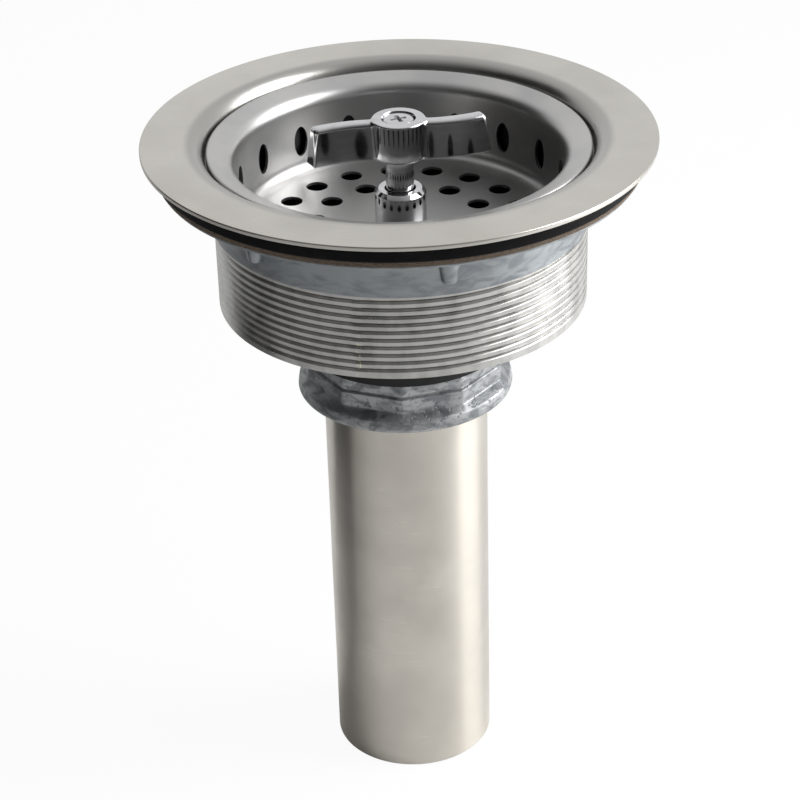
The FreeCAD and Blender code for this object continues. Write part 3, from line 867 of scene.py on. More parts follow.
@dataclass
class DrawnBowl(Assembly):
    """The drawn steel flange, basket seat, bowl and neck."""

    sheet: float = 0.8
    lip_width: float = 1.75
    edge_round: float = 0.3
    recess_radius: float = 43.3
    shoulder_round: float = 3.5
    ledge: float = -3.3
    ledge_round: float = 0.5
    bowl_radius: float = 38.4
    mouth_round: float = 1.4
    floor: float = -39.6
    floor_round: float = 6.0
    neck_radius: float = 20.4
    neck_round: float = 1.6

    def build(self) -> None:
        """Draw the bowl and put it in place."""
        reach = Span.of("strainer_bowl")
        sheet = self.sheet
        under = reach.top - sheet
        inside = self.neck_radius - sheet
        corners = [
            (reach.radius, 0.0, CRISP),
            (reach.radius, reach.top, self.edge_round),
            (self.recess_radius, reach.top, self.shoulder_round),
            (self.recess_radius, self.ledge, self.ledge_round),
            (self.bowl_radius, self.ledge, self.mouth_round),
            (self.bowl_radius, self.floor, self.floor_round),
            (inside, self.floor, self.neck_round),
            (inside, reach.foot),
            (self.neck_radius, reach.foot),
            (self.neck_radius, self.floor - sheet, self.neck_round - sheet),
            (self.bowl_radius + sheet, self.floor - sheet, self.floor_round + sheet),
            (self.bowl_radius + sheet, self.ledge - sheet, self.mouth_round - sheet),
            (self.recess_radius + sheet, self.ledge - sheet, self.ledge_round + sheet),
            (self.recess_radius + sheet, under, self.shoulder_round - sheet),
            (reach.radius - self.lip_width, under),
            (reach.radius - self.lip_width, 0.0),
        ]
        self.seat(spin("drawn_bowl", soften(corners), Columns.LARGE), "strainer_bowl", FLANGE_STEEL)


@dataclass
class ClampRings(Assembly):
    """The rubber gasket and the fibre ring below it."""

    gasket_width: float = 7.6
    gasket_round: float = 0.5
    ring_width: float = 9.6
    ring_round: float = 0.08

    def build(self) -> None:
        """Make both rings."""
        rings = (
            ("rubber_gasket", "sink_gasket", GASKET_RUBBER, self.gasket_width, self.gasket_round),
            ("fibre_ring", "friction_ring", FIBRE, self.ring_width, self.ring_round),
        )
        for name, node, finish, width, soft in rings:
            reach = Span.of(node)
            hole = reach.radius - width
            rim = [
                (reach.radius, reach.foot, soft), (reach.radius, reach.top, soft),
                (hole, reach.top, soft), (hole, reach.foot, soft),
            ]
            self.seat(spin(name, soften(rim), Columns.RING), node, finish)


@dataclass
class ThreadedShell(Assembly):
    """The cast shell: brim, shoulder with lugs, machined thread, cone and boss."""

    inside_radius: float = 39.5
    brim_thickness: float = 0.8
    flare_round: float = 6.0
    shoulder_radius: float = 42.5
    shoulder_foot: float = -18.0
    thread_step: float = 0.15
    thread_gap: float = 0.04
    thread_tail: float = 0.3
    crest_radius: float = 41.9
    barrel_foot: float = -37.6
    boss_radius: float = 23.5
    boss_top: float = -47.5
    boss_round: float = 1.2
    hole_radius: float = 20.8
    inner_floor: float = -40.9
    inner_round: float = 6.8
    inner_flat: float = 32.4
    cone_foot: float = -45.3
    pitch: float = 25.4 / 14.0
    groove_depth: float = 0.68
    groove_share: float = 0.52
    groove_lead: float = 0.02
    groove_rows: int = 9
    land_start: float = 0.1
    land_end: float = 0.82
    turns: int = 10
    first_groove: float = -19.3
    front_share: float = 0.7
    run_in: float = 0.62
    run_out: float = 0.04
    run_length: float = 0.1
    columns: int = 360
    edge: float = 38.0
    band_margin: float = 0.2
    band_depth: float = 1.2
    # How far above the boss's top the painted shade under the barrel reaches.
    boss_shade_rise: float = 2.5
    seam_turn: float = -13.7
    seam_fill: float = 0.45
    seam_spread: float = 1.2
    lug_count: int = 6
    lug_turn: float = 13.0
    lug_stand_off: float = 0.2
    lug_top_width: float = 6.0
    lug_foot_width: float = 3.4
    lug_foot: float = -14.8
    lug_round: float = 0.35
    lug_ease: float = 0.3
    lug_sink: float = 0.6
    lug_sides: int = 36

    def finish(self) -> CastZinc:
        """The casting's finish, with its machined band where the thread is, and painted shade on the
        boss under the barrel.
        """
        return CastZinc(
            "cast_zinc", (0.31, 0.33, 0.34), (0.19, 0.205, 0.22), (0.47, 0.465, 0.45),
            self.shoulder_foot, self.barrel_foot - self.band_margin,
            self.crest_radius - self.band_depth, self.seam_turn, self.boss_top + self.boss_shade_rise,
        )

    def outlines(self) -> tuple[list[Point], list[Point]]:
        """The plain outline above and below the thread.

        Returns:
            Points from the mouth to the thread's top, and from its foot to the inside wall.
        """
        reach = Span.of("clamp_shell")
        brim_foot = reach.top - self.brim_thickness
        thread_top = self.start() + self.pitch + self.thread_gap
        thread_foot = self.start() - self.turns * self.pitch - self.thread_tail
        above = [
            (self.inside_radius, reach.top),
            (reach.radius, reach.top, EASED),
            (reach.radius, brim_foot, EASED),
            (self.shoulder_radius, brim_foot, self.flare_round),
            (self.shoulder_radius, self.shoulder_foot, FINE),
            (self.crest_radius, self.shoulder_foot - self.thread_step, HAIR),
            (self.crest_radius, thread_top),
        ]
        below = [
            (self.crest(thread_foot), thread_foot),
            (self.boss_radius, self.boss_top, self.boss_round),
            (self.boss_radius, reach.foot, SOFT),
            (self.hole_radius, reach.foot, FINE),
            (self.hole_radius, self.cone_foot, EASED),
            (self.inner_flat, self.inner_floor, SOFT),
            (self.inside_radius, self.inner_floor, self.inner_round),
            (self.inside_radius, self.inner_floor + self.inner_round + 1.0),
        ]
        return soften(above, closed=False), soften(below, closed=False)

    def crest(self, height: float) -> float:
        """The radius over the thread's crests, or of the cone below the barrel's foot."""
        run = (self.crest_radius - self.boss_radius) / (self.barrel_foot - self.boss_top)
        return self.crest_radius - run * max(0.0, self.barrel_foot - height)

    def rows(self) -> np.ndarray:
        """Where the thread's rows lie within one turn, as shares of the pitch."""
        half = self.groove_share / 2.0
        groove = half + self.groove_lead + half * np.linspace(-1.0, 1.0, self.groove_rows)
        return np.concatenate(([0.0], groove, [2.0 * half + self.land_start, self.land_end]))

    def start(self) -> float:
        """The height at which the helix starts its first turn."""
        lead = self.front_share - self.groove_share / 2.0 - self.groove_lead
        return self.first_groove - self.pitch * lead

    def column(self, share: float) -> list[Point]:
        """One column of the thread.

        Args:
            share: how far round the column stands, from 0 to 1.

        Returns:
            The column's points, from the top down.
        """
        middle = self.groove_share / 2.0 + self.groove_lead
        points: list[Point] = []
        phases = self.rows()
        degrees = share * 360.0 - self.front_share * 360.0 - self.seam_turn
        off_seam = (degrees + 180.0) % 360.0 - 180.0
        flash = 1.0 - self.seam_fill * math.exp(-off_seam ** 2 / self.seam_spread)
        for turn in range(self.turns):
            way = share - middle - turn
            fade = 1.0 - ramp((way - self.run_in) / self.run_length)
            fade *= ramp((way + middle + self.turns - 1.0 - self.run_out) / self.run_length)
            for phase in phases:
                off = abs(phase - middle) / (self.groove_share / 2.0)
                dip = (0.5 + 0.5 * math.cos(math.pi * min(1.0, off))) * fade * flash
                height = self.start() + self.pitch * (share - turn - phase)
                points.append((self.crest(height) - self.groove_depth * dip, height))
        height = self.start() + self.pitch * (share - self.turns)
        points.append((self.crest(height), height))
        edge = min(height - 0.05, self.barrel_foot)
        points.append((self.crest(edge), edge))
        return points

    def barrel(self) -> bpy.types.Object:
        """The shell without its lugs, with the thread as a true helix.

        Returns:
            The closed object.
        """
        above, below = self.outlines()
        step = len(self.rows())
        count = self.columns
        columns = []
        for i in range(count):
            share = i / count
            angle = math.radians(-90.0) + 2.0 * math.pi * (share - self.front_share)
            outline = above + self.column(share) + below
            c, s = math.cos(angle), math.sin(angle)
            columns.append([(r * c, r * s, z) for r, z in outline])
        height = len(columns[0])
        first = len(above)
        last = first + self.turns * step
        points = [point for column in columns for point in column]
        faces: list[tuple[int, ...]] = []

        def at(i: int, k: int) -> int:
            """The number of the point in column i, row k."""
            return (i % count) * height + k % height

        for i in range(count - 1):
            faces += [(at(i, k), at(i + 1, k), at(i + 1, k + 1), at(i, k + 1)) for k in range(height)]
        end = count - 1
        plain = [k for k in range(height) if k < first - 1 or k >= last + 1]
        faces += [(at(end, k), at(0, k), at(0, k + 1), at(end, k + 1)) for k in plain]
        for k in range(first + step, last):
            faces.append((at(end, k), at(0, k - step), at(0, k - step + 1), at(end, k + 1)))
        head = [at(end, k) for k in range(first + step, first - 2, -1)]
        faces.append((*head, at(0, first - 1), at(0, first)))
        foot = [at(0, k) for k in range(last - step, last + 2)]
        faces.append((*foot, at(end, last + 1), at(end, last)))
        return solid("threaded_shell", np.array(points), faces, self.edge)

    def lugs(self) -> bpy.types.Object:
        """The cast lugs under the brim, half cones that narrow downwards.

        Returns:
            One object of them all.
        """
        top = Span.of("clamp_shell").top - self.brim_thickness * self.lug_sink
        wide, narrow = self.lug_top_width / 2.0, self.lug_foot_width / 2.0
        steps = (
            (self.lug_foot, narrow - self.lug_round),
            (self.lug_foot + self.lug_round * self.lug_ease, narrow - HAIR),
            (self.lug_foot + self.lug_round, narrow),
            (top, wide),
        )
        circle = [2.0 * math.pi * i / self.lug_sides for i in range(self.lug_sides)]
        far = self.shoulder_radius + self.lug_stand_off
        forms = []
        for k in range(self.lug_count):
            layers = []
            for height, radius in steps:
                layer = [(radius * math.cos(a), radius * math.sin(a) - far, height) for a in circle]
                layers.append(turned(layer, self.lug_turn + 360.0 * k / self.lug_count))
            forms.append(stack(layers))
        return gather("shell_lugs", forms)

    def build(self) -> None:
        """Make the shell and put it in place."""
        shell = self.barrel()
        combine(shell, self.lugs(), Cut.ADD, self.edge)
        self.seat(shell, "clamp_shell", self.finish())


def ramp(share: float) -> float:
    """A soft step from 0 to 1 as share goes from 0 to 1."""
    share = min(1.0, max(0.0, share))
    return share * share * (3.0 - 2.0 * share)


@dataclass
class CouplingNut(Assembly):
    """The ten-sided cast nut, with its upper band and base ring."""

    sides: int = 10
    turn: float = 15.5
    corner_radius: float = 23.29
    corner_round: float = 1.5
    band_step: float = 0.3
    band_foot: float = -53.4
    band_inset: float = 0.6
    groove_half: float = 0.35
    groove_sink: float = 0.45
    flats_foot: float = -57.3
    base_edge: float = -58.5
    base_lean: float = 0.5
    base_round: float = 0.9
    bore_radius: float = 20.55
    lip_top: float = -59.4
    lip_radius: float = 19.75
    columns: int = 360
    edge: float = 40.0

    def flat_radius(self, apothem: float, angle: float) -> float:
        """How far out the softened polygon reaches.

        Args:
            apothem: the distance of its flats from the axis.
            angle: the direction, in radians, from the middle of a flat.

        Returns:
            The distance of its wall in that direction.
        """
        half = math.pi / self.sides
        off = abs((angle + half) % (2.0 * half) - half)
        inner = apothem - self.corner_round
        if off <= math.atan2(inner * math.tan(half), apothem):
            return apothem / math.cos(off)
        centre = inner / math.cos(half)
        swing = half - off
        rise = math.sqrt(self.corner_round ** 2 - (centre * math.sin(swing)) ** 2)
        return centre * math.cos(swing) + rise

    def build(self) -> None:
        """Make the nut and put it in place."""
        reach = Span.of("coupling_nut")
        flats = self.corner_radius * math.cos(math.pi / self.sides)
        band = flats - self.band_step
        base = reach.radius
        outline = [
            (self.bore_radius, reach.top, EASED),
            (band, reach.top, FULL),
            (band, self.band_foot + self.groove_half, CRISP),
            (band - self.groove_sink, self.band_foot + HAIR, CRISP),
            (flats, self.band_foot - self.groove_half, self.groove_half),
            (flats, self.flats_foot, FULL),
            (base - self.base_lean, self.base_edge, self.base_round),
            (base, reach.foot, self.base_round),
            (self.lip_radius, reach.foot, EASED),
            (self.lip_radius, self.lip_top, FINE),
            (self.bore_radius, self.lip_top, HAIR),
        ]
        drawn = soften(outline)
        columns = []
        for i in range(self.columns):
            angle = 2.0 * math.pi * i / self.columns
            wall = self.flat_radius(flats, angle - math.radians(self.turn - 90.0)) / flats
            column = []
            for radius, height in drawn:
                shaped = ramp((radius - self.bore_radius) / (band - self.bore_radius - self.band_inset))
                shaped *= ramp((height - self.base_edge) / (self.flats_foot - self.base_edge))
                far = radius * (1.0 + (wall - 1.0) * shaped)
                column.append((far * math.cos(angle), far * math.sin(angle), height))
            columns.append(column)
        size = len(drawn)
        points = [point for column in columns for point in column]
        faces = []
        for i in range(self.columns):
            j = (i + 1) % self.columns
            for k in range(size):
                m = (k + 1) % size
                faces.append((i * size + k, j * size + k, j * size + m, i * size + m))
        self.seat(solid("cast_nut", np.array(points), faces, self.edge), "coupling_nut", NUT_ZINC)


@dataclass
class Tailpiece(Assembly):
    """The straight outlet tube and the washer above it."""

    tube_radius: float = 19.05
    wall: float = 0.8
    flange_thickness: float = 1.0
    throat_round: float = 0.6
    foot_round: float = 0.25

    def build(self) -> None:
        """Make the tube and dress its washer."""
        reach = Span.of("tailpiece")
        inside = self.tube_radius - self.wall
        corners = [
            (inside, reach.foot, FINE),
            (self.tube_radius, reach.foot, self.foot_round),
            (self.tube_radius, reach.top - self.flange_thickness, EASED),
            (reach.radius, reach.top - self.flange_thickness, CRISP),
            (reach.radius, reach.top, CRISP),
            (inside, reach.top, self.throat_round),
        ]
        self.seat(spin("outlet_tube", soften(corners), Columns.LARGE), "tailpiece", TUBE_STEEL)
        self.keep("tailpiece_washer", GASKET_RUBBER)


@dataclass
class Basket(Assembly):
    """The slotted steel cup with its bush and the bush's fixings."""

    sheet: float = 0.7
    wall_radius: float = 36.7
    rim_top: float = -0.8
    rim_foot: float = -2.9
    rim_round: float = 3.0
    rim_edge: float = -3.3
    rim_edge_round: float = 0.7
    floor_round: float = 3.0
    bush_hole: float = 4.15
    turn: float = -1.5
    slot_count: int = 18
    slot_width: float = 3.8
    slot_height: float = 7.4
    slot_middle: float = -12.8
    slot_punch: Point = (30.0, 41.0)
    hole_radius: float = 2.5
    hole_punch: Point = (-2.0, 3.0)
    hole_rings: tuple[Row, ...] = ((27.7, -5.5, 18), (19.4, 4.5, 12))
    punch_sides: int = 40
    longest_run: float = 1.6
    bush_bore: float = 3.45
    bush_bore_foot: float = -20.2
    bush_thread: float = 2.58
    stem_radius: float = 4.0
    bush_chamfer: float = 0.9

    def cup(self) -> bpy.types.Object:
        """The drawn cup before its slots and holes are punched.

        Returns:
            The closed object.
        """
        reach = Span.of("basket_cup")
        sheet = self.sheet
        floor = reach.foot + sheet
        slope = (self.rim_top - self.rim_foot) / (reach.radius - self.wall_radius)
        drop = sheet * math.hypot(1.0, slope)
        under_foot = self.rim_foot + slope * sheet - drop
        under_top = self.rim_top - slope * sheet - drop
        corners = [
            (reach.radius - sheet, self.rim_edge, FINE),
            (reach.radius, self.rim_edge, FINE),
            (reach.radius, self.rim_top, self.rim_edge_round),
            (self.wall_radius, self.rim_foot, self.rim_round),
            (self.wall_radius, floor, self.floor_round),
            (self.bush_hole, floor, HAIR),
            (self.bush_hole, reach.foot, HAIR),
            (self.wall_radius + sheet, reach.foot, self.floor_round + sheet),
            (self.wall_radius + sheet, under_foot, self.rim_round - sheet),
            (reach.radius - sheet, under_top, FINE),
        ]
        return spin("slotted_basket", self.even_wall(soften(corners)), Columns.LARGE)

    def even_wall(self, points: list[Point]) -> list[Point]:
        """Divide the outline's long runs, so that the punched mesh stays even.

        Args:
            points: the outline.

        Returns:
            The outline with more points on its long runs.
        """
        out: list[Point] = []
        for i, here in enumerate(points):
            onward = points[(i + 1) % len(points)]
            count = max(1, math.ceil(math.dist(here, onward) / self.longest_run))
            for k in range(count):
                share = k / count
                radius = here[0] + (onward[0] - here[0]) * share
                out.append((radius, here[1] + (onward[1] - here[1]) * share))
        return out

    def punches(self) -> bpy.types.Object:
        """What the slots and holes are cut with.

        Returns:
            One object of them all.
        """
        forms = []
        side = [2.0 * math.pi * i / self.punch_sides for i in range(self.punch_sides)]
        half, rise = self.slot_width / 2.0, self.slot_height / 2.0
        slot = [(half * math.cos(a), self.slot_middle + rise * math.sin(a)) for a in side]
        for k in range(self.slot_count):
            angle = self.turn + 360.0 * k / self.slot_count
            layers = [turned([(x, -far, z) for x, z in slot], angle) for far in self.slot_punch]
            forms.append(stack(layers))
        floor = Span.of("basket_cup").foot
        for circle, turn, count in self.hole_rings:
            for k in range(count):
                angle = math.radians(90.0 - turn + self.turn + 360.0 * k / count)
                x, y = circle * math.cos(angle), circle * math.sin(angle)
                far = self.hole_radius
                disc = [(x + far * math.cos(a), y + far * math.sin(a)) for a in side]
                layers = [[(u, v, floor + lift) for u, v in disc] for lift in self.hole_punch]
                forms.append(stack(layers))
        return gather("punches", forms)

    def bush(self) -> bpy.types.Object:
        """The chrome bush that stands in the basket's floor.

        Returns:
            The closed object.
        """
        reach = Span.of("spindle_bush")
        seat = Span.of("basket_cup").foot + self.sheet
        corners = [
            (self.bush_bore, reach.top, FINE),
            (reach.radius - self.bush_chamfer, reach.top, CRISP),
            (reach.radius, reach.top - self.bush_chamfer, FINE),
            (reach.radius, seat, EASED),
            (self.stem_radius, seat, HAIR),
            (self.stem_radius, reach.foot, EASED),
            (self.bush_thread, reach.foot, FINE),
            (self.bush_thread, self.bush_bore_foot, HAIR),
            (self.bush_bore, self.bush_bore_foot, HAIR),
        ]
        return spin("spindle_collar", soften(corners), Columns.COLLAR)

    def build(self) -> None:
        """Make the basket and its bush, and dress the bush's fixings."""
        cup = self.cup()
        combine(cup, self.punches(), Cut.REMOVE)
        self.seat(cup, "basket_cup", BASKET_STEEL)
        self.seat(self.bush(), "spindle_bush", CHROME)
        self.keep("bush_washer", INNER_STEEL)
        self.keep("bush_nut", INNER_STEEL)


@dataclass
class WingHandle(Assembly):
    """The spindle with its S-winged handle and screw, and the nut at its foot."""

    body = Body.SPINDLE
    rod_radius: float = 3.15
    rod_round: float = 0.25
    thread_radius: float = 2.5
    thread_top: float = -12.6
    collar_radius: float = 4.5
    collar_top: float = -26.5
    collar_foot: float = -27.7
    foot_radius: float = 2.0
    tapped_radius: float = 1.775
    tapped_depth: float = 8.0
    hub_top_radius: float = 6.0
    hub_foot_radius: float = 5.7
    hub_foot: float = -4.3
    hub_sink: float = 0.02
    wing_top: float = 4.15
    wing_straight: float = 5.0
    wing_bend: float = 31.5
    wing_top_half: float = 1.6
    wing_foot_half: float = 2.0
    wing_top_reach: float = 18.9
    wing_foot_reach: float = 19.7
    wing_top_round: float = 1.1
    wing_foot_round: float = 0.35
    blend: float = 0.7
    well_radius: float = 3.75
    well_depth: float = 2.2
    well_chamfer: float = 0.2
    chamfer_foot: float = 0.15
    chamfer_over: float = 0.05
    tool_over: float = 1.0
    socket_radius: float = 3.2
    socket_top: float = 0.6
    screw_radius: float = 3.4
    screw_head: float = 2.0
    screw_crown: float = 0.08
    shank_radius: float = 1.7
    cross_width: float = 0.95
    cross_reach: float = 2.0
    cross_depth: float = 1.0
    cross_turns: Point = (20.0, 110.0)
    cross_mouth: Row = (-0.5, 1.25, 1.15)
    cross_floor: Point = (0.6, 0.55)
    wing_layers: int = 24
    voxel: float = 0.16
    settling_rounds: int = 6
    settling_share: float = 0.8
    settling_step: float = 0.01
    least_slope: float = 0.05
    bore_edge: float = 45.0

    def along_wing(self, points: np.ndarray) -> tuple[np.ndarray, np.ndarray]:
        """Straighten the S of the wings.

        Args:
            points: points as rows, in millimetres.

        Returns:
            Their distance along the wing from the axis, and across it.
        """
        flip = np.where(points[:, 0] < 0.0, -1.0, 1.0)
        x, y = points[:, 0] * flip, points[:, 1] * flip
        out, side = x - self.wing_straight, self.wing_bend - y
        far = np.hypot(out, side)
        bent = self.wing_straight + self.wing_bend * np.arctan2(out, side)
        on_bend = out > 0.0
        return np.where(on_bend, bent, x), np.where(on_bend, self.wing_bend - far, y)

    def wing_tip(self, reach: float) -> float:
        """The length along the bent wing at which it reaches so far sideways."""
        lean = math.asin((reach - self.wing_straight) / self.wing_bend)
        return self.wing_straight + self.wing_bend * lean

    def depth(self, points: np.ndarray) -> np.ndarray:
        """How far points lie outside the handle, with its hub and wings blended.

        Args:
            points: points as rows, in millimetres.

        Returns:
            About the distance from the surface, negative inside.
        """
        reach = Span.of("handle")
        along, across = self.along_wing(points)
        z = points[:, 2]
        lift = np.clip((z - reach.foot) / (self.wing_top - reach.foot), 0.0, 1.0)
        half = self.wing_foot_half + (self.wing_top_half - self.wing_foot_half) * lift
        foot_tip, top_tip = self.wing_tip(self.wing_foot_reach), self.wing_tip(self.wing_top_reach)
        tip = foot_tip + (top_tip - foot_tip) * lift
        middle, rise = (self.wing_top + reach.foot) / 2.0, (self.wing_top - reach.foot) / 2.0
        soft = self.wing_foot_round + (self.wing_top_round - self.wing_foot_round) * lift
        wing = self.rounded([along - tip, np.abs(across) - half, np.abs(z - middle) - rise], soft)
        top = reach.top - self.hub_sink
        high = np.clip((z - self.hub_foot) / (top - self.hub_foot), 0.0, 1.0)
        wall = self.hub_foot_radius + (self.hub_top_radius - self.hub_foot_radius) * high
        middle, rise = (top + self.hub_foot) / 2.0, (top - self.hub_foot) / 2.0
        around = np.hypot(points[:, 0], points[:, 1])
        hub = self.rounded([around - wall, np.abs(z - middle) - rise], SOFT)
        mix = np.clip(0.5 + 0.5 * (wing - hub) / self.blend, 0.0, 1.0)
        return wing + (hub - wing) * mix - self.blend * mix * (1.0 - mix)

    @staticmethod
    def rounded(sides: Sequence[np.ndarray], soft: float | np.ndarray) -> np.ndarray:
        """The distance from a block with rounded edges.

        Args:
            sides: how far points lie outside each pair of its sides.
            soft: its edges' round.

        Returns:
            The distance, negative inside.
        """
        outside = [side + soft for side in sides]
        corner = np.sqrt(sum(np.maximum(side, 0.0) ** 2 for side in outside))
        return corner + np.minimum(np.maximum.reduce(outside), 0.0) - soft

    def rough_block(self) -> bpy.types.Object:
        """A rough solid of the handle, evenly divided.

        Returns:
            The closed object.
        """
        reach = Span.of("handle")
        tip = self.wing_tip(self.wing_foot_reach)
        corners = (
            (self.wing_foot_half, reach.foot), (self.wing_top_half, self.wing_top),
            (-self.wing_top_half, self.wing_top), (-self.wing_foot_half, reach.foot),
        )
        layers = []
        for k in range(-self.wing_layers, self.wing_layers + 1):
            x, y, lean = self.wing_spot(tip * k / self.wing_layers)
            layers.append([(x - math.sin(lean) * t, y + math.cos(lean) * t, z) for t, z in corners])
        wings = gather("wing_handle", [stack(layers)])
        hub = (
            (0.0, self.hub_foot), (self.hub_foot_radius, self.hub_foot),
            (self.hub_top_radius, reach.top), (0.0, reach.top),
        )
        combine(wings, spin("hub", hub, Columns.ROUGH), Cut.ADD)
        even = wings.modifiers.new("even", "REMESH")
        even.mode = "VOXEL"
        even.voxel_size = self.voxel * MM
        apply_modifiers(wings)
        return wings

    def wing_spot(self, along: float) -> Spot:
        """A place on the S-shaped middle line of the wings.

        Args:
            along: the distance from the axis, negative to the left.

        Returns:
            The place and the line's direction there.
        """
        side = math.copysign(1.0, along)
        far = abs(along)
        if far <= self.wing_straight:
            return along, 0.0, 0.0
        lean = (far - self.wing_straight) / self.wing_bend
        x = self.wing_straight + self.wing_bend * math.sin(lean)
        y = self.wing_bend * (1.0 - math.cos(lean))
        return side * x, side * y, lean

    def handle(self) -> bpy.types.Object:
        """The cast handle, with its well for the screw and its socket for the spindle.

        Returns:
            The closed object.
        """
        made = self.rough_block()
        mesh = made.data
        flat = np.empty(len(mesh.vertices) * 3)
        mesh.vertices.foreach_get("co", flat)
        points = flat.reshape(-1, 3) / MM
        nudge = self.settling_step
        for _ in range(self.settling_rounds):
            level = self.depth(points)
            slope = np.stack(
                [(self.depth(points + nudge * axis) - level) / nudge for axis in np.eye(3)], axis=1
            )
            steep = np.maximum((slope ** 2).sum(axis=1, keepdims=True), self.least_slope)
            points = points - self.settling_share * level[:, None] * slope / steep
        mesh.vertices.foreach_set("co", (points * MM).ravel())
        mesh.update()
        reach = Span.of("handle")
        well_floor = reach.top - self.well_depth
        foot, top = reach.foot - self.tool_over, reach.top + self.tool_over
        mouth = self.well_radius + self.well_chamfer
        bore = [
            (0.0, foot), (self.socket_radius, foot),
            (self.socket_radius, self.socket_top), (self.tapped_radius, self.socket_top),
            (self.tapped_radius, well_floor), (self.well_radius, well_floor),
            (self.well_radius, reach.top - self.chamfer_foot), (mouth, reach.top + self.chamfer_over),
            (mouth, top), (0.0, top),
        ]
        combine(made, spin("bore", bore, Columns.ROD), Cut.REMOVE, self.bore_edge)
        return made

    def screw(self) -> bpy.types.Object:
        """The screw in the hub, with its cross recess.

        Returns:
            The closed object.
        """
        reach = Span.of("handle_screw")
        under = reach.top - self.screw_head
        corners = [
            (0.0, reach.foot), (self.shank_radius, reach.foot, EASED),
            (self.shank_radius, under, HAIR), (self.screw_radius, under, CRISP),
            (self.screw_radius, reach.top - self.screw_crown, SOFT), (0.0, reach.top),
        ]
        made = spin("cross_screw", soften(corners, closed=False), Columns.ROD)
        for turn in self.cross_turns:
            layers = []
            for sink, wide, long in (self.cross_mouth, (self.cross_depth, *self.cross_floor)):
                half, far = self.cross_width / 2.0 * wide, self.cross_reach * long
                layer = [(far, half, 0.0), (-far, half, 0.0), (-far, -half, 0.0), (far, -half, 0.0)]
                layers.append([(x, y, reach.top - sink) for x, y, _ in turned(layer, turn)])
            combine(made, gather("cross", [stack(layers)]), Cut.REMOVE)
        return made

    def spindle(self) -> bpy.types.Object:
        """The stepped rod that carries the handle and the stopper.

        Returns:
            The closed object.
        """
        reach = Span.of("spindle")
        corners = [
            (0.0, reach.foot), (self.foot_radius, reach.foot, EASED),
            (self.foot_radius, self.collar_foot, HAIR),
            (self.collar_radius, self.collar_foot, FINE),
            (self.collar_radius, self.collar_top, FINE),
            (self.thread_radius, self.collar_top, HAIR),
            (self.thread_radius, self.thread_top, FINE),
            (self.rod_radius, self.thread_top, EASED),
            (self.rod_radius, reach.top, self.rod_round),
            (self.tapped_radius, reach.top, HAIR),
            (self.tapped_radius, reach.top - self.tapped_depth, HAIR),
            (0.0, reach.top - self.tapped_depth - 1.0),
        ]
        return spin("threaded_spindle", soften(corners, closed=False), Columns.ROD)

    def build(self) -> None:
        """Make the spindle, handle and screw, and dress the fixings at the foot."""
        self.seat(self.handle(), "handle", CHROME)
        self.seat(self.screw(), "handle_screw", CHROME)
        self.seat(self.spindle(), "spindle", CHROME)
        self.keep("stopper_washer", INNER_STEEL)
        self.keep("stopper_nut", INNER_STEEL)


@dataclass
class Stopper(Assembly):
    """The rubber stopper and its backing plate, hidden in the bowl."""

    body = Body.STOPPER

    def build(self) -> None:
        """Dress the stopper and its plate."""
        self.keep("stopper_plate", INNER_STEEL)
        self.keep("stopper", STOPPER_RUBBER)


